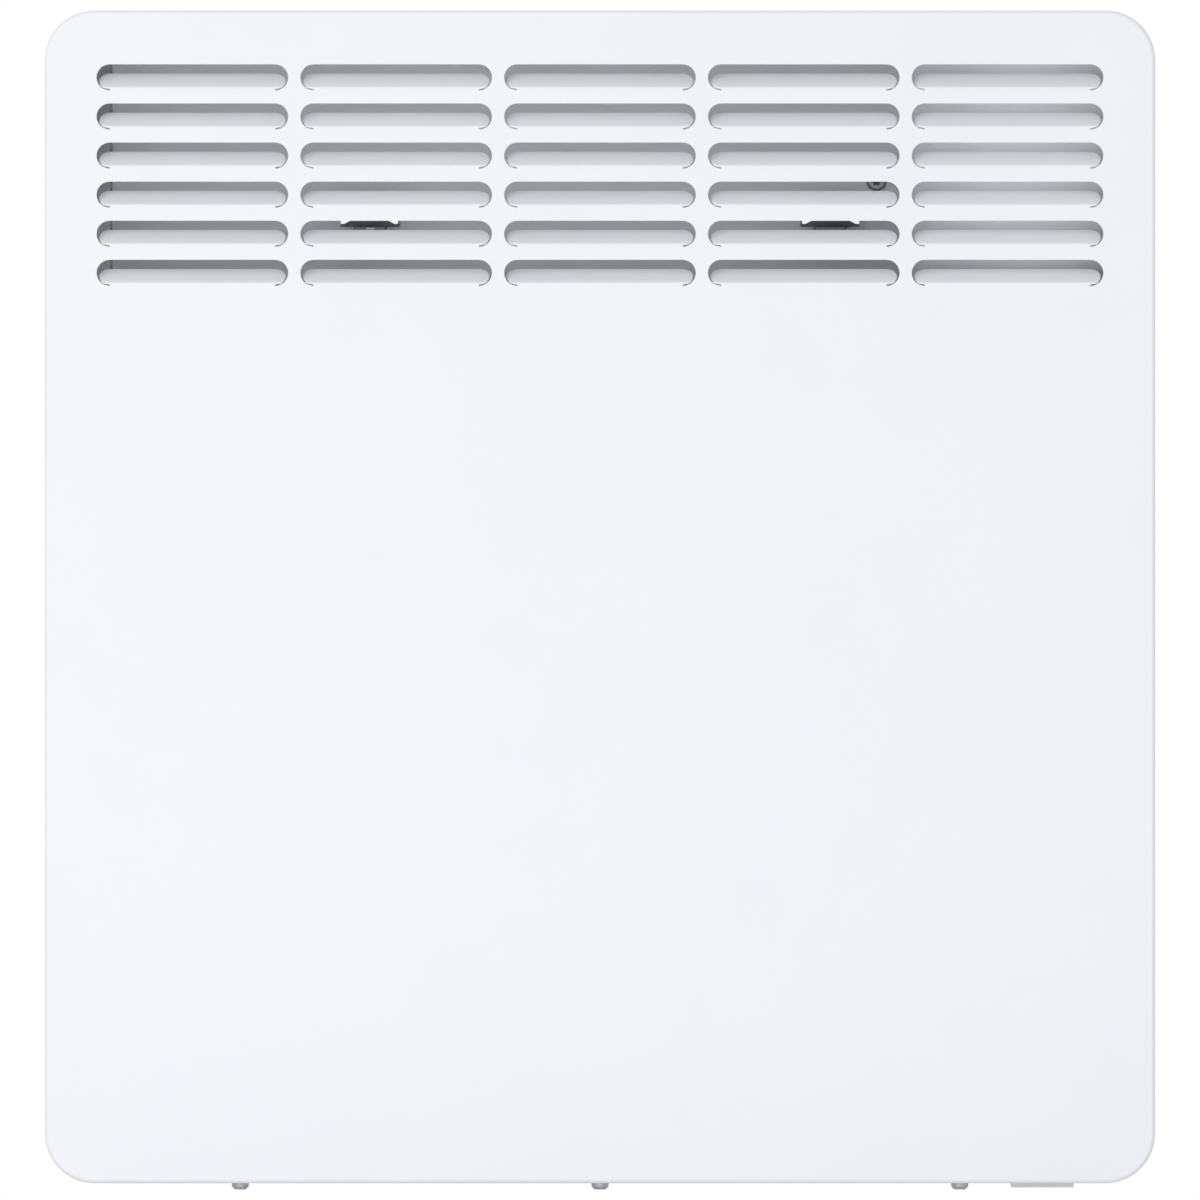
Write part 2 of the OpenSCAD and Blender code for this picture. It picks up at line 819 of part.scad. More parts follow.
// Side wall and front of the control compartment, one folded sheet
module control_partition() {
    wall_left_x = partition_x - inner_sheet / 2;
    wall_right_x = partition_x + inner_sheet / 2;
    color(paint_white) difference() {
        translate([0, 0, wall_bottom_z]) linear_extrude(rim_under_z - sheet_play - wall_bottom_z) {
            translate([wall_right_x - partition_foot, rear_inner_y - inner_sheet]) {
                square([partition_foot, inner_sheet]);
            }
            translate([wall_left_x, partition_front_y]) {
                square([inner_sheet, rear_inner_y - partition_front_y]);
            }
            translate([wall_left_x, partition_front_y]) {
                square([partition_end_x - wall_left_x, inner_sheet]);
            }
            translate([partition_end_x - inner_sheet, partition_front_y]) {
                square([inner_sheet, partition_return]);
            }
        }
        for (s = [-1, 1]) {
            rod_y(partition_screw_x, rear_inner_y + past, s * partition_screw_z, hole_r,
                inner_sheet + 2 * past);
            rod_x(partition_x - past, element_y, element_z + s * element_screw_rise, hole_r, 2 * past);
        }
        rod_x(partition_x - past, wire_gap_y, wire_gap_z, wire_hole_r, 2 * past);
        rod_x(partition_x - past, cutout_y, cutout_screw_z, hole_r, 2 * past);
    }
}

// Bright sheet between the element and the front, with a fold along each side
module front_heat_shield() {
    shield_y = front_y + shield_setback;
    left_x = guide_face_x;
    right_x = partition_face_x;
    color(bright_metal) translate([0, 0, wall_bottom_z]) linear_extrude(shield_h) {
        translate([left_x, shield_y]) square([right_x - left_x, shield_sheet]);
        translate([left_x, shield_y]) square([shield_sheet, shield_fold]);
        translate([right_x - shield_sheet, shield_y]) square([shield_sheet, shield_fold]);
    }
}

module rating_plate() {
    plate_t = 0.3;
    color(bright_metal) to_front(back_y + plate_t, plate_t) {
        translate([plate_x - plate_w / 2, plate_z - plate_h / 2]) square([plate_w, plate_h]);
    }
}

module bracket_leg() {
    translate([arm_x, 0, leg_bottom_z]) linear_extrude(leg_top_z - leg_bottom_z) {
        translate([-leg_w / 2, -bracket_sheet]) square([leg_w, bracket_sheet]);
        both_sides() translate([leg_w / 2 - bracket_sheet, back_y]) square([bracket_sheet, wall_gap]);
    }
}

// Arm through the upper window, with a slot for the catch and an upturned lip
module bracket_arm() {
    difference() {
        translate([arm_x, 0, arm_z]) to_front(0, arm_reach) polygon([
            [-arm_w / 2, bracket_sheet],
            [-arm_w / 2, arm_chamfer / 2],
            [-arm_w / 2 + arm_chamfer, 0],
            [arm_w / 2 - arm_chamfer, 0],
            [arm_w / 2, arm_chamfer / 2],
            [arm_w / 2, bracket_sheet]
        ]);
        box_between(
            [arm_x - catch_w / 2 - catch_slot_play, catch_y - catch_slot_reach - catch_t, arm_z - past],
            [arm_x + catch_w / 2 + catch_slot_play, catch_y + catch_slot_reach / 2, arm_top_z + past]
        );
    }
    box_between(
        [arm_x - arm_w / 2, -arm_reach, arm_top_z],
        [arm_x + arm_w / 2, lip_y, arm_top_z + arm_lip_h]
    );
}

module bracket_hook() {
    hook_front_y = hook_lip_y - bracket_sheet;
    box_between(
        [arm_x - arm_w / 2, hook_front_y, hook_top_z - bracket_sheet],
        [arm_x + arm_w / 2, 0, hook_top_z]
    );
    box_between(
        [arm_x - arm_w / 2, hook_front_y, hook_top_z],
        [arm_x + arm_w / 2, hook_lip_y, hook_top_z + hook_lip_h]
    );
}

module bracket_spring_seat() {
    box_between(
        [arm_x - spring_seat_w / 2, spring_seat_y, spring_seat_z - bracket_sheet],
        [arm_x + spring_seat_w / 2, 0, spring_seat_z]
    );
}

module wall_bracket() {
    color(zinc) difference() {
        union() {
            both_sides() {
                bracket_leg();
                bracket_arm();
                bracket_hook();
                bracket_spring_seat();
            }
            for (s = [-1, 1]) {
                box_between(
                    [-arm_x, -bracket_sheet, s * strap_spacing / 2 - strap_h / 2],
                    [arm_x, 0, s * strap_spacing / 2 + strap_h / 2]
                );
            }
        }
        both_sides() {
            for (s = [-1, 1]) {
                rod_y(arm_x, past, s * wall_hole_rise / 2, wall_hole_r, bracket_sheet + 2 * past);
            }
            rod_x(arm_x - leg_w / 2 - past, pin_y, pin_z, latch_pin_r + pin_play, leg_w + 2 * past);
        }
    }
}

module latch_pins() {
    color(bright_metal) both_sides() {
        rod_x(arm_x - leg_w / 2, pin_y, pin_z, latch_pin_r, leg_w);
        rod_x(arm_x + leg_w / 2, pin_y, pin_z, pin_head_r, pin_head_t);
        rod_x(arm_x - leg_w / 2 - pin_head_t, pin_y, pin_z, pin_head_r, pin_head_t);
    }
}

// Latch on the right: eye on the pin, plate under the arm, catch behind the rear panel
module latch() {
    tip_h = 5;
    color(dark_steel) difference() {
        union() {
            rod_x(arm_x - latch_w / 2, pin_y, pin_z, latch_eye_r, latch_w);
            box_between(
                [arm_x - latch_w / 2, latch_tip_y, latch_under_z],
                [arm_x + latch_w / 2, pin_y, latch_top_z]
            );
            box_between(
                [arm_x - latch_w / 2, latch_tip_y, latch_under_z - tip_h],
                [arm_x + latch_w / 2, latch_tip_y + latch_sheet, latch_under_z]
            );
            box_between(
                [arm_x - catch_w / 2, catch_y - catch_t, latch_top_z],
                [arm_x + catch_w / 2, catch_y, arm_top_z + catch_h]
            );
        }
        rod_x(arm_x - latch_w, pin_y, pin_z, latch_pin_r + pin_play, 2 * latch_w);
    }
}

module latch_right() {
    latch();
}

// The left latch also has a pressed bead on its tip
module latch_left() {
    bead_w = 3.4;
    bead_h = 0.6;
    bead_t = 0.4;
    mirror([1, 0, 0]) {
        latch();
        color(dark_steel) translate([arm_x, 0, latch_top_z - bead_h]) {
            to_front(latch_tip_y, bead_t) slot_outline(bead_w, bead_h);
        }
    }
}

module latch_spring() {
    path_h = latch_spring_h - 2 * latch_wire_r;
    rings = 12 * latch_spring_turns;
    path = [
        for (i = [0 : rings])
            let (a = 360 * latch_spring_turns * i / rings)
                [
                    arm_x + latch_spring_r * cos(a),
                    spring_y + latch_spring_r * sin(a),
                    spring_seat_z + latch_wire_r + path_h * i / rings
                ]
    ];
    color(bright_metal) tube(path, latch_wire_r, 6);
}

module latch_spring_right() {
    latch_spring();
}

module latch_spring_left() {
    mirror([1, 0, 0]) latch_spring();
}

// Section of the finned body: a tube with four ribbed fins
module fin_outline() {
    rib_steps = [0.5, 0.74, 1];
    difference() {
        union() {
            circle(fin_tube_r);
            for (a = [45 : 90 : 315]) {
                rotate(a) {
                    translate([0, -fin_t / 2]) square([fin_reach, fin_t]);
                    for (s = rib_steps) {
                        translate([fin_reach * s - fin_t, -rib_w * s / 2]) square([fin_t, rib_w * s]);
                    }
                }
            }
        }
        circle(rod_r + rod_play);
    }
}

module element_fins() {
    start_x = left_plate_x + bush_collar_t + fin_gap;
    end_x = right_plate_x - bush_collar_t - fin_gap;
    color(bright_metal) translate([0, element_y, element_z]) {
        along_x(start_x, end_x - start_x) fin_outline();
    }
}

module heater_rod() {
    start_x = guide_face_x + rod_end_gap;
    end_x = partition_face_x - rod_end_gap;
    color(dark_steel) {
        rod_x(start_x, element_y, element_z, rod_r, end_x - start_x);
        rod_x(start_x - terminal_pin_l, element_y, element_z, terminal_pin_r, terminal_pin_l);
        rod_x(end_x, element_y, element_z, terminal_pin_r, terminal_pin_l);
    }
}

// Bush with its collar towards +X and its sleeve through a bracket plate that ends at x = 0
module end_bush() {
    sleeve_l = inner_sheet + 3;
    difference() {
        union() {
            rod_x(-sleeve_l, element_y, element_z, bush_r, sleeve_l + bush_collar_t / 2);
            rod_x(0, element_y, element_z, bush_collar_r, bush_collar_t);
        }
        rod_x(-sleeve_l - past, element_y, element_z, rod_r + rod_play, sleeve_l + bush_collar_t + 2 * past);
    }
}

module end_bush_left() {
    color(ceramic_white) translate([left_plate_x, 0, 0]) end_bush();
}

module end_bush_right() {
    color(ceramic_white) translate([right_plate_x, 0, 0]) mirror([1, 0, 0]) end_bush();
}

// Bracket for the left end: a box section on the air guide with a plate that holds the bush
module element_bracket() {
    t = inner_sheet;
    h = element_box_h;
    difference() {
        translate([0, element_y + element_bracket_w / 2, element_z]) to_front(0, element_bracket_w) {
            translate([element_standoff - t, -h]) square([t, 2 * h]);
            for (s = [-1, 1]) {
                translate([0, s * h - t / 2]) square([element_standoff, t]);
                translate([0, s > 0 ? h : -h - element_tab_h]) square([t, element_tab_h]);
            }
        }
        rod_x(element_standoff - past - t, element_y, element_z, bush_r + rod_play, 2 * past + t);
        for (s = [-1, 1]) {
            rod_x(-past, element_y, element_z + s * element_screw_rise, hole_r, 2 * past + t);
        }
    }
}

module element_bracket_left() {
    color(zinc) translate([guide_face_x, 0, 0]) element_bracket();
}

module element_bracket_right() {
    color(zinc) translate([partition_face_x, 0, 0]) mirror([1, 0, 0]) element_bracket();
}

module cutout_bracket() {
    t = inner_sheet;
    color(zinc) difference() {
        union() {
            box_between([partition_face_x - t, cutout_y - cutout_w / 2, cutout_z],
                [partition_face_x, cutout_y + cutout_w / 2, cutout_z + cutout_tab_h]);
            box_between([partition_face_x - cutout_shelf, cutout_y - cutout_w / 2, cutout_z - t],
                [partition_face_x, cutout_y + cutout_w / 2, cutout_z]);
        }
        rod_z(cutout_x, cutout_y, cutout_z - t - past, cutout_r - 1.5, t + 2 * past);
        rod_x(partition_face_x - t - past, cutout_y, cutout_screw_z, hole_r, t + 2 * past);
    }
}

// Bimetal disc switch with two blade terminals
module overheat_cutout() {
    blade_w = 4.8;
    blade_t = 0.8;
    body_z = cutout_z + cutout_disc_h;
    color(bright_metal) rod_z(cutout_x, cutout_y, cutout_z, cutout_r, cutout_disc_h);
    color(black_plastic) rod_z(cutout_x, cutout_y, body_z, cutout_r - 1, cutout_body_h);
    color(bright_metal) for (s = [-1, 1]) {
        translate([cutout_x + s * cutout_blade_x, cutout_y, cutout_top_z - blade_l]) {
            translate([-blade_t / 2, -blade_w / 2, 0]) cube([blade_t, blade_w, blade_l]);
        }
    }
}

function button_x(i) = fascia_x + (i - 1.5) * button_pitch;

// Plate in the casing's top opening, with a rim under the sheet and four legs for the board
module control_fascia() {
    leg_r = 2.5;
    leg_inset = 3;
    lens_ledge = 1.2;
    color(grey_plastic) {
        difference() {
            union() {
                fascia_opening(fascia_w, fascia_d, roof_z - past / 2, cover_sheet + past / 2);
                fascia_opening(fascia_w + 2 * fascia_rim + 2 * sheet_play,
                    fascia_d + 2 * fascia_rim + 2 * sheet_play, rim_under_z, fascia_rim_t);
            }
            for (i = [0 : 3]) {
                rod_z(button_x(i), button_y, rim_under_z - past, button_r + button_play,
                    fascia_rim_t + cover_sheet + 2 * past);
            }
            box_between(
                [fascia_x - window_w / 2, window_y - window_d / 2, rim_under_z - past],
                [fascia_x + window_w / 2, window_y + window_d / 2, top_z + past]
            );
            box_between(
                [fascia_x - window_w / 2 - lens_ledge, window_y - window_d / 2 - lens_ledge, top_z - lens_sink],
                [fascia_x + window_w / 2 + lens_ledge, window_y + window_d / 2 + lens_ledge, top_z + past]
            );
        }
        for (sx = [-1, 1], y = [fascia_front_y + leg_inset, fascia_back_y - leg_inset]) {
            rod_z(fascia_x + sx * (fascia_w / 2 - leg_inset), y, board_top_z, leg_r, rim_under_z - board_top_z);
        }
    }
}

module display_lens() {
    ledge = 1;
    color([0.2, 0.24, 0.26]) box_between(
        [fascia_x - window_w / 2 - ledge, window_y - window_d / 2 - ledge, top_z - lens_sink],
        [fascia_x + window_w / 2 + ledge, window_y + window_d / 2 + ledge, top_z - lens_sink + lens_t]
    );
}

// Display glass in its frame, standing on the display board
module display_module() {
    frame_over = 3;
    glass_t = 1.5;
    glass_low_z = rim_under_z - sheet_play - glass_t;
    color(black_plastic) box_between(
        [fascia_x - window_w / 2 - frame_over, window_y - window_d / 2 - frame_over / 2, board_top_z],
        [fascia_x + window_w / 2 + frame_over, window_y + window_d / 2 + frame_over, glass_low_z]
    );
    color([0.55, 0.62, 0.5]) box_between(
        [fascia_x - window_w / 2, window_y - window_d / 2, glass_low_z],
        [fascia_x + window_w / 2, window_y + window_d / 2, glass_low_z + glass_t]
    );
}

module display_board() {
    color(board_green) fascia_opening(fascia_w, fascia_d, board_top_z - board_t, board_t);
}

module key_switches() {
    for (i = [0 : 3]) {
        color(black_plastic) translate([button_x(i) - key_w / 2, button_y - key_w / 2, board_top_z]) {
            cube([key_w, key_w, key_body_h]);
        }
        color(bright_metal) rod_z(button_x(i), button_y, board_top_z + key_body_h, key_r, key_plunger_h);
    }
}

// Button with its hidden collar and the stem that reaches its key
module button(i) {
    color(grey_plastic) {
        rod_z(button_x(i), button_y, button_flange_z, button_r, button_face_z - button_flange_z);
        rod_z(button_x(i), button_y, button_flange_z, button_flange_r, button_flange_t);
        rod_z(button_x(i), button_y, stem_end_z, stem_r, button_flange_z - stem_end_z);
    }
}

module menu_button() {
    button(0);
}

module minus_button() {
    button(1);
}

module plus_button() {
    button(2);
}

module ok_button() {
    button(3);
}

// Repeats its children at the power board's four posts
module at_posts() {
    for (sx = [-1, 1], sz = [-1, 1]) {
        translate([
            power_board_x + sx * (power_board_w / 2 - post_inset),
            0,
            power_board_z + sz * (power_board_h / 2 - post_inset)
        ]) children();
    }
}

module power_board() {
    color(board_green) difference() {
        translate([power_board_x, 0, power_board_z]) to_front(power_board_y, board_t) {
            square([power_board_w, power_board_h], center = true);
        }
        at_posts() rod_y(0, power_board_y + past, 0, hole_r, board_t + 2 * past);
    }
}

module board_posts() {
    post_r = 3.2;
    color(grey_plastic) at_posts() difference() {
        rod_y(0, rear_inner_y, 0, post_r, board_post_h);
        rod_y(0, rear_inner_y - board_post_h / 2, 0, hole_r, board_post_h / 2 + past);
    }
}

// A component on the power board, given by its middle, width, height and depth
module on_board(x, z, w, h, depth) {
    box_between([power_board_x + x - w / 2, power_face_y - depth, power_board_z + z - h / 2],
        [power_board_x + x + w / 2, power_face_y, power_board_z + z + h / 2]);
}

module power_relay() {
    color(black_plastic) {
        on_board(relay_place[0], relay_place[1], relay_size[0], relay_size[1], relay_size[2]);
    }
}

module supply_transformer() {
    core_lip = 3;
    color([0.75, 0.62, 0.2]) {
        on_board(coil_place[0], coil_place[1], coil_size[0], coil_size[1], coil_size[2]);
    }
    color(dark_steel) {
        for (s = [-1, 1]) {
            on_board(coil_place[0], coil_place[1] + s * (coil_size[1] + core_lip) / 2,
                coil_size[0] + core_lip, core_lip, coil_size[2]);
        }
    }
}

module smoothing_capacitor() {
    color([0.15, 0.2, 0.45]) {
        rod_y(power_board_x + can_place[0], power_face_y, power_board_z + can_place[1], can_r, can_h);
    }
}

// Three-way terminal block on the rear panel, open at the top and bottom for its wires
module terminal_block() {
    entry_r = wire_r + 0.4;
    screw_r = 1.6;
    color(black_plastic) difference() {
        box_between([terminal_x - terminal_w / 2, rear_inner_y - terminal_d, terminal_z - terminal_h / 2],
            [terminal_x + terminal_w / 2, rear_inner_y, terminal_z + terminal_h / 2]);
        for (i = [-1 : 1]) {
            for (s = [-1, 1]) {
                rod_z(terminal_x + i * terminal_pitch, terminal_wire_y,
                    s > 0 ? terminal_z + terminal_h / 2 - terminal_entry : terminal_z - terminal_h / 2 - past,
                    entry_r, terminal_entry + past);
            }
            rod_y(terminal_x + i * terminal_pitch, rear_inner_y - terminal_d / 2, terminal_z, screw_r,
                terminal_d / 2 + past);
        }
    }
}

// Housing of the mains switch: a bezel under the grille and a deep frame round the rocker
module switch_frame() {
    cavity_w = rocker_w + 2 * rocker_play;
    cavity_d = frame_d - 2 * frame_wall;
    top_t = 2;
    blade_w = 6.3;
    blade_t = 0.8;
    body_top_z = grille_bottom_z + frame_body_h;
    color(grey_plastic) difference() {
        union() {
            box_between([switch_x - bezel_w / 2, switch_y - bezel_d / 2, bezel_z],
                [switch_x + bezel_w / 2, switch_y + bezel_d / 2, grille_bottom_z]);
            box_between([switch_x - frame_w / 2, switch_y - frame_d / 2, grille_bottom_z - past],
                [switch_x + frame_w / 2, switch_y + frame_d / 2, body_top_z]);
        }
        box_between([switch_x - cavity_w / 2, switch_y - cavity_d / 2, bezel_z - past],
            [switch_x + cavity_w / 2, switch_y + cavity_d / 2, body_top_z - top_t]);
        rod_x(switch_x - frame_w / 2 + frame_wall / 3, switch_y, rocker_pivot_z,
            rocker_pin_r + rocker_pin_play, frame_w - frame_wall * 2 / 3);
    }
    color(bright_metal) for (i = [-1, 1]) {
        translate([switch_x, switch_y + i * switch_blade_y, body_top_z - top_t / 2]) {
            translate([-blade_w / 2, -blade_t / 2, 0]) cube([blade_w, blade_t, blade_l + top_t / 2]);
        }
    }
}

// Rocker in the off position, tilted about its pins
module rocker() {
    valley = rocker_face;
    crest = rocker_face + rocker_half * tan(rocker_tilt);
    pin_reach = rocker_w / 2 + rocker_play + frame_wall / 2;
    color(grey_plastic) translate([0, switch_y, rocker_pivot_z]) rotate([-rocker_tilt, 0, 0]) {
        along_x(switch_x - rocker_w / 2, rocker_w) polygon([
            [-rocker_half, -crest],
            [0, -valley],
            [rocker_half, -crest],
            [rocker_half, -rocker_back],
            [rocker_back, rocker_back],
            [-rocker_back, rocker_back],
            [-rocker_half, -rocker_back]
        ]);
        rod_x(switch_x - pin_reach, 0, 0, rocker_pin_r, 2 * pin_reach);
    }
}

// Inlet for the cord in the rear panel: a bored body with a collar on each side of the sheet
module cord_gland() {
    body_in = 9;
    color(black_plastic) difference() {
        union() {
            rod_y(switch_x, back_y + gland_out, gland_z, gland_body_r,
                gland_out + inner_sheet + body_in);
            rod_y(switch_x, back_y + gland_collar_t, gland_z, gland_flange_r, gland_collar_t);
            rod_y(switch_x, rear_inner_y, gland_z, gland_flange_r, gland_collar_t);
        }
        rod_y(switch_x, back_y + gland_out + past, gland_z, gland_bore_r,
            gland_out + inner_sheet + body_in + 2 * past);
    }
}

// Clip on the intake grille that holds the sensor's bead
module sensor_holder() {
    color(grey_plastic) difference() {
        box_between(
            [sensor_x - holder_w / 2, sensor_clip_y - holder_d / 2, grille_top_z],
            [sensor_x + holder_w / 2, sensor_clip_y + holder_d / 2, grille_top_z + holder_h]
        );
        rod_z(sensor_x, sensor_clip_y, grille_top_z + holder_floor, sensor_r + holder_play, holder_h);
    }
}

module room_sensor() {
    color(black_plastic) rod_z(sensor_x, sensor_clip_y, grille_top_z + holder_floor, sensor_r, sensor_h);
}

module cover_screws() {
    shank = cover_sheet + inner_sheet + nut_collar_h + 3;
    color(zinc) for (i = [-1 : 1]) {
        translate([i * cover_screw_pitch, cover_screw_y, bottom_z]) {
            pan_screw(cover_head_r, cover_head_h, cover_face_r, shank);
        }
    }
}

module inner_screw(shank) {
    pan_screw(inner_head_r, inner_head_h, inner_face_r, shank);
}

// A screw whose head lies on a face towards the front, driven towards the wall
module screw_from_front(x, y, z, shank) {
    translate([x, y, z]) rotate([-90, 0, 0]) inner_screw(shank);
}

module guide_screws() {
    color(zinc) for (s = [-1, 1]) {
        screw_from_front(guide_screw_x, rear_inner_y - inner_sheet, s * guide_screw_z, sheet_screw_l);
    }
}

module partition_screws() {
    color(zinc) for (s = [-1, 1]) {
        screw_from_front(partition_screw_x, rear_inner_y - inner_sheet, s * partition_screw_z, sheet_screw_l);
    }
}

// Screws through the bracket tabs at both ends and the one under the cut-out
module element_screws() {
    color(zinc) {
        for (s = [-1, 1]) {
            translate([guide_face_x + inner_sheet, element_y, element_z + s * element_screw_rise]) {
                rotate([0, -90, 0]) inner_screw(sheet_screw_l);
            }
            translate([partition_face_x - inner_sheet, element_y, element_z + s * element_screw_rise]) {
                rotate([0, 90, 0]) inner_screw(sheet_screw_l);
            }
        }
        translate([partition_face_x - inner_sheet, cutout_y, cutout_screw_z]) {
            rotate([0, 90, 0]) inner_screw(sheet_screw_l);
        }
    }
}

module board_screws() {
    color(zinc) at_posts() screw_from_front(0, power_face_y, 0, board_t + board_post_h / 2 - past);
}

module earth_screw() {
    color([0.8, 0.7, 0.3]) screw_from_front(earth_x, rear_inner_y - lug_t, earth_z, sheet_screw_l);
}

// Wires from the element's left end, and from its right end by way of the cut-out
module element_wires() {
    left_x = guide_face_x + rod_end_gap - terminal_pin_l / 2;
    right_x = partition_face_x - rod_end_gap + terminal_pin_l / 2;
    behind_y = element_y + element_bracket_w / 2 + 5;
    blade_top_z = cutout_top_z + wire_touch;
    loop_h = 9;
    over_z = blade_top_z + loop_h;
    entry_z = terminal_z - terminal_h / 2 + terminal_entry - wire_touch;
    mouth_z = terminal_z - terminal_h / 2;
    color([0.85, 0.82, 0.75]) {
        wire([
            [left_x, element_y, element_z - terminal_pin_r - wire_touch],
            [left_x, element_y + 3, element_z - 7],
            [left_x, element_y + 11, element_z - 10],
            [left_x, behind_y, element_z - 12],
            [left_x + 4, wire_gap_y, element_z - 25],
            [left_x + 20, wire_gap_y, wire_gap_z],
            [guide_x / 2, wire_gap_y - 1, wire_gap_z - 2],
            [partition_x / 2, wire_gap_y - 1, wire_gap_z - 2],
            [partition_x, wire_gap_y - 2, wire_gap_z - 1],
            [terminal_x - terminal_pitch - 8, wire_gap_y - 1, wire_gap_z + 4],
            [terminal_x - terminal_pitch, terminal_wire_y, mouth_z - 10],
            [terminal_x - terminal_pitch, terminal_wire_y, mouth_z - 2],
            [terminal_x - terminal_pitch, terminal_wire_y, entry_z]
        ]);
        wire([
            [right_x, element_y, element_z + terminal_pin_r + wire_touch],
            [right_x, element_y + 3, element_z + 7],
            [right_x, element_y + 11, element_z + 10],
            [right_x, behind_y, element_z + 14],
            [right_x - 1, behind_y + 1, cutout_z - 10],
            [cutout_x + cutout_blade_x + 2, behind_y - 4, cutout_z + 6],
            [cutout_x + cutout_blade_x, cutout_y + 8, over_z],
            [cutout_x + cutout_blade_x, cutout_y + 2, over_z],
            [cutout_x + cutout_blade_x, cutout_y, blade_top_z]
        ]);
        wire([
            [cutout_x - cutout_blade_x, cutout_y, blade_top_z],
            [cutout_x - cutout_blade_x, cutout_y + 2, over_z],
            [cutout_x - cutout_blade_x, cutout_y + 10, over_z],
            [cutout_x - cutout_blade_x, behind_y + 2, cutout_z],
            [cutout_x, wire_gap_y + 2, element_z],
            [partition_x - 8, wire_gap_y + 2, wire_gap_z + 10],
            [partition_x, wire_gap_y + 2, wire_gap_z + 1],
            [terminal_x - 12, wire_gap_y + 3, wire_gap_z - 5],
            [terminal_x, terminal_wire_y, mouth_z - 14],
            [terminal_x, terminal_wire_y, mouth_z - 2],
            [terminal_x, terminal_wire_y, entry_z]
        ]);
    }
}

// Wires of the mains side: block to switch, switch to board, block to board, and the earth with its lug
module mains_wires() {
    low_mouth_z = terminal_z - terminal_h / 2;
    high_mouth_z = terminal_z + terminal_h / 2;
    low_entry_z = low_mouth_z + terminal_entry - wire_touch;
    high_entry_z = high_mouth_z - terminal_entry + wire_touch;
    blade_top_z = grille_bottom_z + frame_body_h + blade_l + wire_touch;
    board_y = power_face_y - wire_touch;
    solder_rise = 8;
    solder_inset = 14;
    board_low_z = power_board_z - power_board_h / 2 + solder_rise;
    feed_x = power_board_x - power_board_w / 2 + solder_inset;
    return_x = power_board_x + power_board_w / 2 - solder_inset;
    color([0.25, 0.35, 0.6]) wire([
        [terminal_x + terminal_pitch, terminal_wire_y, low_entry_z],
        [terminal_x + terminal_pitch, terminal_wire_y, low_mouth_z - 2],
        [terminal_x + terminal_pitch, terminal_wire_y - 2, low_mouth_z - 8],
        [switch_x - 3, rear_inner_y - 17, low_mouth_z - 18],
        [switch_x, switch_y + switch_blade_y + 2, blade_top_z + 12],
        [switch_x, switch_y + switch_blade_y, blade_top_z]
    ]);
    color([0.45, 0.3, 0.2]) {
        wire([
            [switch_x, switch_y - switch_blade_y, blade_top_z],
            [switch_x + 2, switch_y - switch_blade_y, blade_top_z + 12],
            [return_x + 3, switch_y, terminal_z],
            [return_x + 3, power_face_y - 14, board_low_z - 30],
            [return_x, power_face_y - 9, board_low_z - 2],
            [return_x, board_y - 3, board_low_z],
            [return_x, board_y, board_low_z]
        ]);
        wire([
            [terminal_x - terminal_pitch, terminal_wire_y, high_entry_z],
            [terminal_x - terminal_pitch, terminal_wire_y, high_mouth_z + 2],
            [terminal_x - terminal_pitch, terminal_wire_y - 2, high_mouth_z + 8],
            [feed_x, power_face_y - 8, board_low_z - 30],
            [feed_x, power_face_y - 9, board_low_z - 3],
            [feed_x, board_y - 3, board_low_z],
            [feed_x, board_y, board_low_z]
        ]);
    }
    color([0.5, 0.65, 0.2]) {
        wire([
            [terminal_x + terminal_pitch, terminal_wire_y, high_entry_z],
            [terminal_x + terminal_pitch, terminal_wire_y, high_mouth_z + 2],
            [terminal_x + terminal_pitch + 1, terminal_wire_y, high_mouth_z + 7],
            [earth_x - 14, rear_inner_y - 5, earth_z - 5],
            [earth_x - lug_r, rear_inner_y - wire_r - lug_t / 2, earth_z]
        ]);
        difference() {
            rod_y(earth_x, rear_inner_y, earth_z, lug_r, lug_t);
            rod_y(earth_x, rear_inner_y + past, earth_z, hole_r, lug_t + 2 * past);
        }
    }
}

module sensor_lead() {
    top_z = grille_top_z + holder_floor + sensor_h + wire_touch;
    landing_shift = 4;
    landing_rise = 7;
    block_clear = 9;
    landing_x = power_board_x + landing_shift;
    landing_z = power_board_z - power_board_h / 2 + landing_rise;
    front_of_block_y = rear_inner_y - terminal_d - block_clear;
    color(black_plastic) wire([
        [sensor_x, sensor_clip_y, top_z],
        [sensor_x, sensor_clip_y, top_z + 10],
        [sensor_x + 4, front_of_block_y, terminal_z - 20],
        [terminal_x, front_of_block_y - 2, terminal_z + 20],
        [landing_x, power_face_y - 11, landing_z - 14],
        [landing_x, power_face_y - 8, landing_z - 2],
        [landing_x, power_face_y - 3, landing_z],
        [landing_x, power_face_y - wire_touch, landing_z]
    ]);
}

// Flat cable from the display board down to the power board
module display_ribbon() {
    cable_w = 12;
    cable_t = 0.8;
    start_z = board_top_z - board_t;
    start_y = fascia_mid_y - 5;
    bend_z = power_board_z + power_board_h / 2 + 24;
    end_z = power_board_z + power_board_h / 2 - 6;
    color([0.7, 0.7, 0.72]) along_x(fascia_x + 12, cable_w) polygon([
        [start_y, start_z],
        [start_y, bend_z],
        [power_face_y - 6, end_z + cable_t],
        [power_face_y, end_z + cable_t],
        [power_face_y, end_z],
        [power_face_y - 6 - cable_t / 2, end_z],
        [start_y - cable_t, bend_z - cable_t / 2],
        [start_y - cable_t, start_z]
    ]);
}

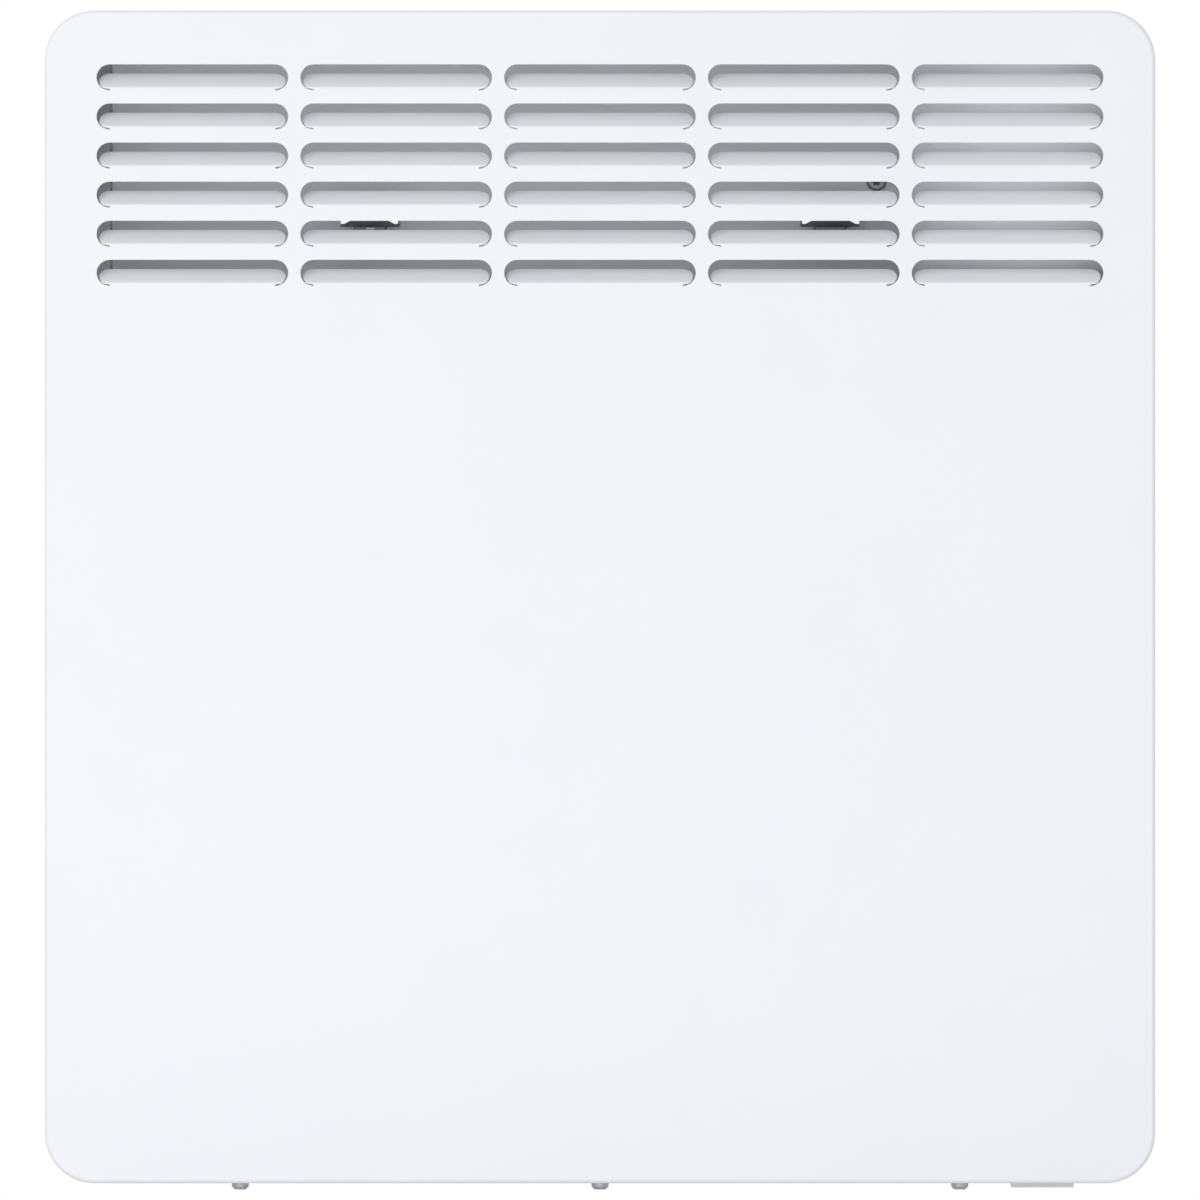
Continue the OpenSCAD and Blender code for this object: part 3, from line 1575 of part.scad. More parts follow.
front_cover();
rear_panel();
intake_grille();
left_air_guide();
control_partition();
front_heat_shield();
rating_plate();
wall_bracket();
latch_pins();
latch_left();
latch_right();
latch_spring_left();
latch_spring_right();
element_fins();
heater_rod();
end_bush_left();
end_bush_right();
element_bracket_left();
element_bracket_right();
cutout_bracket();
overheat_cutout();
control_fascia();
display_lens();
display_module();
display_board();
key_switches();
menu_button();
minus_button();
plus_button();
ok_button();
power_board();
board_posts();
power_relay();
supply_transformer();
smoothing_capacitor();
terminal_block();
switch_frame();
rocker();
cord_gland();
sensor_holder();
room_sensor();
cover_screws();
guide_screws();
partition_screws();
element_screws();
board_screws();
earth_screw();
element_wires();
mains_wires();
sensor_lead();
display_ribbon();
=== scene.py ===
import math

import bmesh
import bpy
from mathutils import Matrix, Vector


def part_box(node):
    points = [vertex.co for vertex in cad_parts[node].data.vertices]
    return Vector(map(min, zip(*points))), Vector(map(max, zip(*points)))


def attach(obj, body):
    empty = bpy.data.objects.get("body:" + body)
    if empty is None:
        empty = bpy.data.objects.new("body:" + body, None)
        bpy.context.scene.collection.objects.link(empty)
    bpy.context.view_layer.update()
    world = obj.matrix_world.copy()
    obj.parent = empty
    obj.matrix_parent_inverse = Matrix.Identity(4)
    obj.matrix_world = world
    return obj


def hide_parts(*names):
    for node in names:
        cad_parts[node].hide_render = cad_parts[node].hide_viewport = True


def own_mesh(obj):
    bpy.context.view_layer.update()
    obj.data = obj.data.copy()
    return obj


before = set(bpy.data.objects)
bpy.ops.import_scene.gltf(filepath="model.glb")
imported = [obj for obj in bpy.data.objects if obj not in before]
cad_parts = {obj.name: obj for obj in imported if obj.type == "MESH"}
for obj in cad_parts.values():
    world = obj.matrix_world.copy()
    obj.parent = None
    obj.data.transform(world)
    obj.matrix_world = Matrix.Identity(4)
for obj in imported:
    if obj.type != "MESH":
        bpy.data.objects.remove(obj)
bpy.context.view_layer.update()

# Lengths below are in millimetres, in the part's own frame: front towards -Y, wall at Y = 0
MM = 0.001

# Casing
SIDE_X = 213.0
TOP_Z = 225.0
FRONT_Y = -100.0
BACK_Y = -20.0
CORNER_R = 19.0
ROLL_R = 1.5
SHEET = 1.0
FLANGE_BACK_Y = -84.0
SCREW_Y = -92.0
SCREW_PITCH = 138.1
SCREW_HOLE_R = 1.9
FASCIA_HOLE_X = (123.8, 190.2)
FASCIA_HOLE_Y = (-74.2, -35.8)
CORNER_STEPS = 12
ROLL_STEPS = 6
HOLE_STEPS = 16

# Louvres
COLUMNS = 5
ROWS = 6
COLUMN_PITCH = 78.2
ROW_PITCH = 15.0
FIRST_TOP_Z = 204.35
SLOT_W = 73.5
SLOT_H = 10.0
END_STEPS = 12
FOLD_ANGLE = math.radians(50)
FOLD_START = 0.75
FOLD_R = 1.0
FOLD_STEPS = 5
FLAP_CUT = 0.55
FLAP_END_REACH = 4.1
FLAP_STEPS = 14
FLAP_COLUMNS = 5
FLAP_ROW_GAP = 0.06
FLAP_LEAST_REACH = 0.01
LATCH_ROW = 4
ARM_X = 88.5
TOOTH_POINTS = ((11.0, 0.0), (11.0, -1.2), (9.6, -1.2), (7.36, 0.0))

# Buttons
BUTTON_R = 4.0
BUTTON_EDGE_R = 0.4
BUTTON_RIM = 0.5
BUTTON_DISH = 0.5
BUTTON_BODY = 3.9
BUTTON_FLANGE = 1.0
BUTTON_FLANGE_REACH = 1.25
BUTTON_EDGE_STEPS = 5
DISH_STEPS = 8
STEM_R = 2.0
STEM_L = 3.0
TURN_STEPS = 48
MARK_HALF = 1.5
MARK_LINE = 0.5
MENU_LINE_STEP = 1.1
MARK_BELOW_RIM = 0.12

# Coil springs under the latches
SPRING_Y = -16.0
SPRING_SEAT_Z = 127.31
SPRING_H = 13.18
SPRING_R = 2.9
SPRING_WIRE_R = 0.4
SPRING_TURNS = 5
SPRING_STEPS = 36
SPRING_SIDES = 12

# Rocker of the mains switch, in its own frame about its pins
ROCKER_PLACE = (170.0, -56.0, -217.6)
ROCKER_W = 15.0
ROCKER_HALF = 10.5
ROCKER_VALLEY = 6.5
ROCKER_BACK = 3.0
ROCKER_TILT = math.radians(8)
ROCKER_SAG = 0.5
ROCKER_STEPS = 10
ROCKER_PIN_R = 1.5
ROCKER_PIN_REACH = 9.0
ROCKER_MARK_SHARE = 0.55

# Eased edges and joined flats
EDGE_STEPS = 2
SHARP_ANGLE = math.radians(40)
FLAT_ANGLE = math.radians(0.5)
SEAM_PLAY = 0.01
SHADING_WEIGHT = 50

# Floor
FLOOR_R = 820
FLOOR_Z = -300
FLOOR_SIDES = 96
FLOOR_FADE = (350, 800)

# Camera
PHOTO_PIXELS = 1200
MM_PER_PIXEL = 0.3837
LENS = 1500
SENSOR = 36
EYE_Z = 130.0
AIM_Z = -1.15


def tone(red, green, blue):
    """Linear colour of a finish given as 8-bit values."""
    shades = []
    for value in (red, green, blue):
        share = value / 255
        shades.append(share / 12.92 if share <= 0.04045 else ((share + 0.055) / 1.055) ** 2.4)
    return (*shades, 1.0)


# Effects that several finishes share


def effect(name, inputs, outputs):
    """A node group with its own sockets, ready to be filled."""
    tree = bpy.data.node_groups.new(name, "ShaderNodeTree")
    for label, value in inputs.items():
        kind = "NodeSocketVector" if isinstance(value, tuple) else "NodeSocketFloat"
        socket = tree.interface.new_socket(label, in_out="INPUT", socket_type=kind)
        socket.default_value = value
    for label in outputs:
        tree.interface.new_socket(label, in_out="OUTPUT", socket_type="NodeSocketFloat")
    given = tree.nodes.new("NodeGroupInput")
    made = tree.nodes.new("NodeGroupOutput")
    return tree, given, made


def noise(tree, place, scale, detail, roughness=0.5):
    """Noise at a place, in cells per metre. scale is a socket or a number."""
    node = tree.nodes.new("ShaderNodeTexNoise")
    tree.links.new(place, node.inputs["Vector"])
    if isinstance(scale, (int, float)):
        node.inputs["Scale"].default_value = scale
    else:
        tree.links.new(scale, node.inputs["Scale"])
    node.inputs["Detail"].default_value = detail
    node.inputs["Roughness"].default_value = roughness
    return node.outputs["Fac"]


def stretched(tree, value, low, high):
    """A value spread from low..high to 0..1."""
    node = tree.nodes.new("ShaderNodeMapRange")
    node.inputs["From Min"].default_value = low
    node.inputs["From Max"].default_value = high
    tree.links.new(value, node.inputs["Value"])
    return node.outputs["Result"]


def worked(tree, operation, first, second):
    """One step of arithmetic on two sockets or numbers."""
    node = tree.nodes.new("ShaderNodeMath")
    node.operation = operation
    for slot, value in enumerate((first, second)):
        if isinstance(value, (int, float)):
            node.inputs[slot].default_value = value
        else:
            tree.links.new(value, node.inputs[slot])
    return node.outputs["Value"]


def weighed(tree, first, second, share):
    """The sum of two values, the first by a share and the second by the rest."""
    part = worked(tree, "MULTIPLY", first, share)
    rest = worked(tree, "MULTIPLY", second, 1 - share)
    return worked(tree, "ADD", part, rest)


def object_place(tree):
    """Where a point lies in its piece."""
    return tree.nodes.new("ShaderNodeTexCoord").outputs["Object"]


def powder_skin():
    """Fine orange peel of baked powder paint, with slow clouds in its shade."""
    tree, given, made = effect("powder_skin", {"Peel": 900.0, "Clouds": 14.0}, ("Mask", "Height"))
    place = object_place(tree)
    peel = noise(tree, place, given.outputs["Peel"], detail=2)
    clouds = noise(tree, place, given.outputs["Clouds"], detail=3)
    tree.links.new(peel, made.inputs["Height"])
    soft = stretched(tree, clouds, 0.35, 0.65)
    grain = stretched(tree, peel, 0.3, 0.7)
    tree.links.new(weighed(tree, soft, grain, 0.75), made.inputs["Mask"])
    return tree


def moulded_grain():
    """Spark-eroded texture of a moulded plastic."""
    tree, given, made = effect("moulded_grain", {"Grain": 2600.0, "Clouds": 60.0}, ("Mask", "Height"))
    place = object_place(tree)
    grain = noise(tree, place, given.outputs["Grain"], detail=2, roughness=0.6)
    clouds = noise(tree, place, given.outputs["Clouds"], detail=2)
    tree.links.new(stretched(tree, grain, 0.3, 0.7), made.inputs["Height"])
    both = weighed(tree, grain, clouds, 0.6)
    tree.links.new(stretched(tree, both, 0.35, 0.65), made.inputs["Mask"])
    return tree


def drawn_lines():
    """Long fine lines that rolling, drawing or extruding leaves in metal."""
    start = {"Stretch": (1.0, 1.0, 1.0), "Lines": 1800.0, "Clouds": 25.0}
    tree, given, made = effect("drawn_lines", start, ("Mask", "Height"))
    place = object_place(tree)
    along = tree.nodes.new("ShaderNodeVectorMath")
    along.operation = "MULTIPLY"
    tree.links.new(place, along.inputs[0])
    tree.links.new(given.outputs["Stretch"], along.inputs[1])
    lines = noise(tree, along.outputs["Vector"], given.outputs["Lines"], detail=3, roughness=0.7)
    clouds = noise(tree, place, given.outputs["Clouds"], detail=3)
    tree.links.new(lines, made.inputs["Height"])
    both = weighed(tree, lines, clouds, 0.55)
    tree.links.new(stretched(tree, both, 0.36, 0.64), made.inputs["Mask"])
    return tree


def zinc_flowers():
    """Crystals of a hot-dip zinc coat, each with its own shade."""
    tree, given, made = effect("zinc_flowers", {"Crystals": 260.0, "Grain": 1500.0}, ("Mask", "Height"))
    place = object_place(tree)
    cells = tree.nodes.new("ShaderNodeTexVoronoi")
    tree.links.new(place, cells.inputs["Vector"])
    tree.links.new(given.outputs["Crystals"], cells.inputs["Scale"])
    shade = tree.nodes.new("ShaderNodeSeparateColor")
    tree.links.new(cells.outputs["Color"], shade.inputs["Color"])
    grain = noise(tree, place, given.outputs["Grain"], detail=3)
    both = weighed(tree, shade.outputs["Red"], grain, 0.6)
    tree.links.new(both, made.inputs["Mask"])
    tree.links.new(worked(tree, "ADD", worked(tree, "MULTIPLY", both, 0.5), grain), made.inputs["Height"])
    return tree


def handling():
    """Film of dust on what faces up, and faint smudges, as one mask."""
    tree, given, made = effect("handling", {"Dust": 0.3, "Smudges": 0.2}, ("Mask",))
    surface = tree.nodes.new("ShaderNodeNewGeometry")
    split = tree.nodes.new("ShaderNodeSeparateXYZ")
    tree.links.new(surface.outputs["Normal"], split.inputs["Vector"])
    upward = stretched(tree, split.outputs["Z"], 0.35, 1.0)
    place = object_place(tree)
    patches = stretched(tree, noise(tree, place, 90, detail=4, roughness=0.6), 0.35, 0.75)
    smears = stretched(tree, noise(tree, place, 28, detail=3, roughness=0.6), 0.5, 0.72)
    dust = worked(tree, "MULTIPLY", worked(tree, "MULTIPLY", upward, patches), given.outputs["Dust"])
    marks = worked(tree, "MULTIPLY", smears, given.outputs["Smudges"])
    tree.links.new(worked(tree, "MAXIMUM", dust, marks), made.inputs["Mask"])
    return tree


POWDER = powder_skin()
MOULDED = moulded_grain()
DRAWN = drawn_lines()
ZINC = zinc_flowers()
HANDLING = handling()


def placed(tree, group, settings):
    """One use of an effect in a material, with its own values."""
    node = tree.nodes.new("ShaderNodeGroup")
    node.node_tree = group
    for label, value in settings.items():
        node.inputs[label].default_value = value
    return node


def mixed_colour(tree, mask, low, high):
    """A colour between two, by a mask. low is a colour or a socket."""
    node = tree.nodes.new("ShaderNodeMix")
    node.data_type = "RGBA"
    tree.links.new(mask, node.inputs["Factor"])
    sockets = [s for s in node.inputs if s.type == "RGBA"]
    if isinstance(low, tuple):
        sockets[0].default_value = low
    else:
        tree.links.new(low, sockets[0])
    sockets[1].default_value = high
    return next(s for s in node.outputs if s.type == "RGBA")


def finish(name, effect_tree, settings, dark, light, rough, relief, marks=(0.0, 0.0), **shader):
    """A finish whose shade, gloss and relief follow one effect, with dust and smudges over it.

    relief is the strength and the depth of the surface's texture, marks are dust and smudges.
    """
    material = bpy.data.materials.new(name)
    material.use_nodes = True
    tree = material.node_tree
    skin = tree.nodes["Principled BSDF"]
    pattern = placed(tree, effect_tree, settings)
    film = placed(tree, HANDLING, {"Dust": marks[0], "Smudges": marks[1]})
    colour = mixed_colour(tree, pattern.outputs["Mask"], dark, light)
    dusty = mixed_colour(tree, film.outputs["Mask"], colour, tone(196, 193, 188))
    tree.links.new(dusty, skin.inputs["Base Color"])
    gloss = tree.nodes.new("ShaderNodeMapRange")
    gloss.inputs["To Min"].default_value = rough[0]
    gloss.inputs["To Max"].default_value = rough[1]
    tree.links.new(pattern.outputs["Mask"], gloss.inputs["Value"])
    duller = worked(tree, "MULTIPLY", film.outputs["Mask"], 0.4)
    tree.links.new(worked(tree, "ADD", gloss.outputs["Result"], duller), skin.inputs["Roughness"])
    bump = tree.nodes.new("ShaderNodeBump")
    bump.inputs["Strength"].default_value = relief[0]
    bump.inputs["Distance"].default_value = relief[1] * MM
    tree.links.new(pattern.outputs["Height"], bump.inputs["Height"])
    tree.links.new(bump.outputs["Normal"], skin.inputs["Normal"])
    for label, value in shader.items():
        skin.inputs[label.replace("_", " ")].default_value = value
    return material


def beyond(tree, start_y, end_y):
    """A mask that rises from 0 to 1 between two depths in the part."""
    split = tree.nodes.new("ShaderNodeSeparateXYZ")
    tree.links.new(object_place(tree), split.inputs["Vector"])
    return stretched(tree, split.outputs["Y"], start_y * MM, end_y * MM)


def recoloured(material, start_y, end_y, shade, metal=None):
    """Gives the part of a finish that lies beyond a depth another shade. metal is the share before it."""
    tree = material.node_tree
    skin = tree.nodes["Principled BSDF"]
    mask = beyond(tree, start_y, end_y)
    coated = skin.inputs["Base Color"].links[0].from_socket
    tree.links.new(mixed_colour(tree, mask, coated, shade), skin.inputs["Base Color"])
    if metal is not None:
        left = worked(tree, "SUBTRACT", 1.0, mask)
        tree.links.new(worked(tree, "MULTIPLY", left, metal), skin.inputs["Metallic"])
    return material


def inner_paint(name):
    """The paint of the inner walls."""
    return finish(
        name, POWDER, {"Peel": 1100.0, "Clouds": 30.0},
        dark=tone(243, 244, 247), light=tone(247, 248, 250),
        rough=(0.42, 0.55), relief=(0.15, 0.05), marks=(0.12, 0.06),
    )


PAINT = finish(
    "casing_paint", POWDER, {"Peel": 900.0, "Clouds": 9.0},
    dark=tone(244, 245, 249), light=tone(248, 249, 252),
    rough=(0.36, 0.46), relief=(0.12, 0.05), marks=(0.03, 0.02),
)
INNER_PAINT = inner_paint("inner_wall_paint")
# The guide's front edge is painted dark grey. This is partly the bare cut edge of the sheet and partly
# painted shade for the dark line along the guide's edge.
GUIDE_PAINT = recoloured(
    inner_paint("air_guide_paint_with_shaded_edge"), start_y=-88.6, end_y=-89.4, shade=tone(112, 114, 118),
)
GALVANISED = finish(
    "galvanised_sheet", ZINC, {"Crystals": 210.0, "Grain": 1500.0},
    dark=tone(168, 171, 175), light=tone(210, 213, 216),
    rough=(0.36, 0.54), relief=(0.2, 0.04), marks=(0.2, 0.15), Metallic=0.75,
)
# The bracket turns dark grey with less metal where it reaches forward past the rear panel into the casing.
# Behind that it keeps its zinc.
BRACKET_WITH_DARK_ARMS = recoloured(finish(
    "galvanised_bracket_with_dark_arms", ZINC, {"Crystals": 210.0, "Grain": 1500.0},
    dark=tone(178, 180, 184), light=tone(218, 220, 223),
    rough=(0.36, 0.54), relief=(0.2, 0.04), marks=(0.2, 0.15),
), start_y=-21.5, end_y=-23.0, shade=tone(98, 99, 102), metal=0.6)
SCREW_ZINC = finish(
    "bright_zinc_screw", DRAWN, {"Stretch": (1.0, 1.0, 0.2), "Lines": 2600.0},
    dark=tone(164, 166, 170), light=tone(190, 192, 196),
    rough=(0.42, 0.56), relief=(0.15, 0.02), marks=(0.1, 0.1), Metallic=0.55,
)
# Painted shade: the screw heads turn dark grey with less metal in their recess and round their rim, where
# shade falls.
INNER_SCREW_ZINC = recoloured(finish(
    "inner_screw_with_painted_recess_shade", DRAWN, {"Stretch": (1.0, 0.2, 1.0), "Lines": 2600.0},
    dark=tone(172, 174, 178), light=tone(198, 200, 204),
    rough=(0.42, 0.56), relief=(0.15, 0.02), marks=(0.1, 0.1),
), start_y=-24.05, end_y=-23.75, shade=tone(104, 105, 108), metal=0.4)
# Painted highlight: the foremost bit of each latch is painted near-white. The rest is dark phosphated steel.
LATCH_STEEL = recoloured(finish(
    "phosphated_latch_with_painted_highlight", DRAWN, {"Stretch": (1.0, 0.15, 1.0), "Lines": 2200.0},
    dark=tone(118, 119, 122), light=tone(144, 145, 149),
    rough=(0.45, 0.62), relief=(0.2, 0.03), marks=(0.1, 0.1),
), start_y=-44.1, end_y=-44.25, shade=tone(224, 225, 228), metal=0.3)
SPRING_STEEL = finish(
    "drawn_spring_steel", DRAWN, {"Stretch": (0.3, 0.3, 1.0), "Lines": 3000.0},
    dark=tone(160, 162, 166), light=tone(200, 202, 206),
    rough=(0.22, 0.38), relief=(0.1, 0.02), Metallic=1.0,
)
ELEMENT_ALUMINIUM = finish(
    "extruded_element_aluminium", DRAWN, {"Stretch": (0.02, 1.0, 1.0), "Lines": 1600.0},
    dark=tone(176, 177, 179), light=tone(208, 209, 211),
    rough=(0.32, 0.5), relief=(0.2, 0.03), marks=(0.25, 0.1), Metallic=1.0,
)
SHIELD_ALUMINIUM = finish(
    "rolled_shield_aluminium", DRAWN, {"Stretch": (0.03, 1.0, 1.0), "Lines": 1400.0},
    dark=tone(196, 197, 199), light=tone(222, 223, 225),
    rough=(0.2, 0.34), relief=(0.12, 0.02), marks=(0.15, 0.1), Metallic=1.0,
)
ROD_STEEL = finish(
    "annealed_rod_steel", DRAWN, {"Stretch": (0.05, 1.0, 1.0), "Lines": 2000.0, "Clouds": 60.0},
    dark=tone(62, 58, 56), light=tone(104, 100, 96),
    rough=(0.4, 0.6), relief=(0.15, 0.03), marks=(0.1, 0.05), Metallic=0.9,
)
CERAMIC = finish(
    "steatite_ceramic", MOULDED, {"Grain": 3000.0, "Clouds": 120.0},
    dark=tone(224, 219, 208), light=tone(236, 232, 223),
    rough=(0.5, 0.66), relief=(0.15, 0.04), marks=(0.2, 0.1),
)
GREY_PLASTIC = finish(
    "grey_control_plastic", MOULDED, {"Grain": 2600.0, "Clouds": 40.0},
    dark=tone(198, 199, 203), light=tone(206, 207, 211),
    rough=(0.42, 0.54), relief=(0.2, 0.05), marks=(0.08, 0.05),
)
SWITCH_PLASTIC = finish(
    "grey_switch_plastic", MOULDED, {"Grain": 2800.0, "Clouds": 50.0},
    dark=tone(222, 222, 226), light=tone(229, 229, 233),
    rough=(0.4, 0.5), relief=(0.18, 0.04), marks=(0.05, 0.05),
)
BLACK_PLASTIC = finish(
    "black_moulded_plastic", MOULDED, {"Grain": 2400.0, "Clouds": 60.0},
    dark=tone(26, 26, 28), light=tone(38, 38, 41),
    rough=(0.42, 0.58), relief=(0.25, 0.05), marks=(0.12, 0.1),
)
BOARD = finish(
    "board_lacquer", DRAWN, {"Stretch": (0.1, 1.0, 1.0), "Lines": 420.0, "Clouds": 140.0},
    dark=tone(18, 74, 42), light=tone(38, 112, 66),
    rough=(0.25, 0.4), relief=(0.15, 0.04), marks=(0.1, 0.05),
)
COIL_TAPE = finish(
    "coil_tape", DRAWN, {"Stretch": (1.0, 1.0, 0.08), "Lines": 500.0},
    dark=tone(196, 160, 44), light=tone(218, 184, 70),
    rough=(0.3, 0.45), relief=(0.2, 0.05), marks=(0.1, 0.05),
)
SLEEVE = finish(
    "capacitor_sleeve", MOULDED, {"Grain": 1500.0, "Clouds": 80.0},
    dark=tone(34, 44, 104), light=tone(48, 60, 128),
    rough=(0.18, 0.3), relief=(0.1, 0.03), marks=(0.1, 0.05),
)
INSULATION = finish(
    "woven_wire_insulation", MOULDED, {"Grain": 2200.0, "Clouds": 150.0},
    dark=tone(186, 178, 164), light=tone(212, 206, 194),
    rough=(0.5, 0.7), relief=(0.3, 0.08), marks=(0.1, 0.1),
)
SENSOR_SLEEVE = finish(
    "black_lead_sleeve", MOULDED, {"Grain": 2600.0, "Clouds": 90.0},
    dark=tone(30, 30, 32), light=tone(46, 46, 49),
    rough=(0.45, 0.6), relief=(0.2, 0.05), marks=(0.1, 0.05),
)
BRASS = finish(
    "plain_brass", DRAWN, {"Stretch": (1.0, 1.0, 0.2), "Lines": 2400.0},
    dark=tone(178, 148, 70), light=tone(212, 182, 100),
    rough=(0.25, 0.4), relief=(0.12, 0.02), marks=(0.1, 0.1), Metallic=1.0,
)
SMOKED_LENS = finish(
    "smoked_display_lens", MOULDED, {"Grain": 600.0, "Clouds": 30.0},
    dark=tone(60, 66, 70), light=tone(66, 72, 76),
    rough=(0.04, 0.08), relief=(0.02, 0.01), marks=(0.05, 0.08),
    Transmission_Weight=0.6, IOR=1.49,
)
DISPLAY = finish(
    "display_glass", DRAWN, {"Stretch": (1.0, 0.02, 1.0), "Lines": 900.0},
    dark=tone(84, 92, 80), light=tone(98, 106, 92),
    rough=(0.12, 0.2), relief=(0.05, 0.02),
)
MARK_INK = finish(
    "dark_grey_mark", MOULDED, {"Grain": 2600.0, "Clouds": 80.0},
    dark=tone(66, 67, 71), light=tone(78, 79, 83),
    rough=(0.45, 0.58), relief=(0.1, 0.03), marks=(0.05, 0.03),
)


# Shapes


def piece_from(shape, name, *materials):
    """A piece in the part's frame from a shape drawn in millimetres."""
    bmesh.ops.scale(shape, vec=(MM, MM, MM), verts=shape.verts)
    mesh = bpy.data.meshes.new(name)
    shape.to_mesh(mesh)
    shape.free()
    for face in mesh.polygons:
        face.use_smooth = True
    piece = bpy.data.objects.new(name, mesh)
    bpy.context.scene.collection.objects.link(piece)
    for material in materials:
        piece.data.materials.append(material)
    return piece


def ease_edges(piece, radius, joined=False):
    """Rounds the sharp edges of a piece. joined first makes each flat face of a drawing one face."""
    if joined:
        weld = piece.modifiers.new("closed_seams", "WELD")
        weld.merge_threshold = SEAM_PLAY * MM
        flat = piece.modifiers.new("whole_flats", "DECIMATE")
        flat.decimate_type = "DISSOLVE"
        flat.angle_limit = FLAT_ANGLE
    bevel = piece.modifiers.new("eased_edges", "BEVEL")
    bevel.width = radius * MM
    bevel.segments = EDGE_STEPS
    bevel.limit_method = "ANGLE"
    bevel.angle_limit = SHARP_ANGLE
    bevel.use_clamp_overlap = joined
    even = piece.modifiers.new("even_shading", "WEIGHTED_NORMAL")
    even.weight = SHADING_WEIGHT
    even.keep_sharp = False


def dress(node, material, edge=0.0):
    """Gives a drawn node its finish, and eases its edges where their radius is given."""
    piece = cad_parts[node]
    piece.data.materials.clear()
    piece.data.materials.append(material)
    if edge:
        ease_edges(piece, edge, joined=True)


def column_x(column):
    """Middle of a louvre column."""
    return (column - (COLUMNS - 1) / 2) * COLUMN_PITCH


def slot_floor_z(row):
    """Lower edge of a louvre row."""
    return FIRST_TOP_Z - row * ROW_PITCH - SLOT_H


def fold_columns():
    """Places along a fold, from a louvre's middle, at which it has points."""
    half = (SLOT_W - SLOT_H) / 2
    return [half * (2 * i / FLAP_COLUMNS - 1) for i in range(FLAP_COLUMNS + 1)]


def slot_rim(column, row):
    """Points of a louvre's edge in (x, z), from the right end of its fold round to the left end."""
    middle = column_x(column)
    floor_z = slot_floor_z(row)
    half = (SLOT_W - SLOT_H) / 2
    end_r = SLOT_H / 2
    points = []
    for step in range(1, END_STEPS + 1):
        turn = math.pi * (step / END_STEPS - 0.5)
        points.append((middle + half + end_r * math.cos(turn), floor_z + end_r + end_r * math.sin(turn)))
    arm = math.copysign(ARM_X, middle)
    if row == LATCH_ROW and abs(abs(middle) - ARM_X) < half:
        top_z = floor_z + SLOT_H
        points += [(arm + x, top_z + z) for x, z in TOOTH_POINTS]
        points += [(arm - x, top_z + z) for x, z in reversed(TOOTH_POINTS)]
    for step in range(END_STEPS):
        turn = math.pi * (step / END_STEPS + 0.5)
        points.append((middle - half + end_r * math.cos(turn), floor_z + end_r + end_r * math.sin(turn)))
    return points


def flap_point(along, floor_z):
    """Where the sheet is, in (y, z), at a distance along a flap from the louvre's lower edge."""
    flat = min(along, FOLD_START)
    turn = min((along - flat) / FOLD_R, FOLD_ANGLE)
    rest = along - flat - FOLD_R * turn
    y = FRONT_Y + FOLD_R * (1 - math.cos(turn)) + rest * math.sin(FOLD_ANGLE)
    z = floor_z + flat + FOLD_R * math.sin(turn) + rest * math.cos(FOLD_ANGLE)
    return y, z


def flap_half_width(along):
    """Half the width of a flap's flat pattern at a distance along it."""
    half = (SLOT_W - SLOT_H) / 2
    reach = SLOT_H / 2 - FLAP_CUT
    share = (along - SLOT_H / 2) / reach
    return half + FLAP_END_REACH * math.sqrt(max(1 - share * share, 0.0))


def flap_rows():
    """Distances along a flap at which it has a row of points."""
    reach = SLOT_H / 2 - FLAP_CUT
    rows = [FOLD_START + FOLD_R * FOLD_ANGLE * step / FOLD_STEPS for step in range(FOLD_STEPS + 1)]
    rows += [SLOT_H / 2 - reach * math.cos(math.pi * step / FLAP_STEPS) for step in range(FLAP_STEPS + 1)]
    kept = []
    for along in sorted(rows):
        if not kept or along - kept[-1] > FLAP_ROW_GAP:
            kept.append(along)
    return kept


def lance_flap(shape, column, row, fold):
    """Builds one flap from the points of its fold inwards."""
    middle = column_x(column)
    floor_z = slot_floor_z(row)
    half = (SLOT_W - SLOT_H) / 2
    below = [None, *fold, None]
    for along in flap_rows():
        y, z = flap_point(along, floor_z)
        reach = flap_half_width(along)
        line = [shape.verts.new((middle + x, y, z)) for x in fold_columns()]
        ends = [None, None]
        if reach > half + FLAP_LEAST_REACH:
            ends = [shape.verts.new((middle + side * reach, y, z)) for side in (-1, 1)]
        above = [ends[0], *line, ends[1]]
        for i in range(len(above) - 1):
            corners = [below[i], below[i + 1], above[i + 1], above[i]]
            corners = [c for c in corners if c is not None]
            if len(corners) > 2:
                shape.faces.new(corners)
        below = above


def cover_rim():
    """Centres and outward directions of the cover's outline, anticlockwise from the lower right corner."""
    flat_x = SIDE_X - CORNER_R
    flat_z = TOP_Z - CORNER_R
    rim = []
    centres = ((flat_x, -flat_z), (flat_x, flat_z), (-flat_x, flat_z), (-flat_x, -flat_z))
    for corner, centre in enumerate(centres):
        for step in range(CORNER_STEPS + 1):
            turn = math.pi / 2 * (corner - 1 + step / CORNER_STEPS)
            rim.append((*centre, math.cos(turn), math.sin(turn)))
        if corner == 1:
            rim += [(x, flat_z, 0.0, 1.0) for x in reversed(FASCIA_HOLE_X)]
    return rim


def ring(shape, rim, radius, y):
    """Points of the cover's outline at one depth."""
    return [shape.verts.new((x + radius * dx, y, z + radius * dz)) for x, z, dx, dz in rim]


def fill(shape, outline, holes, normal):
    """Fills a flat outline with holes in it."""
    edges = []
    for loop in [outline, *holes]:
        for a, b in zip(loop, loop[1:] + loop[:1]):
            edges.append(shape.edges.get((a, b)) or shape.edges.new((a, b)))
    made = bmesh.ops.triangle_fill(shape, use_beauty=True, use_dissolve=False, edges=edges, normal=normal)
    faces = [f for f in made["geom"] if isinstance(f, bmesh.types.BMFace)]
    for face in faces:
        face.normal_update()
        if face.normal.dot(Vector(normal)) < 0:
            face.normal_flip()


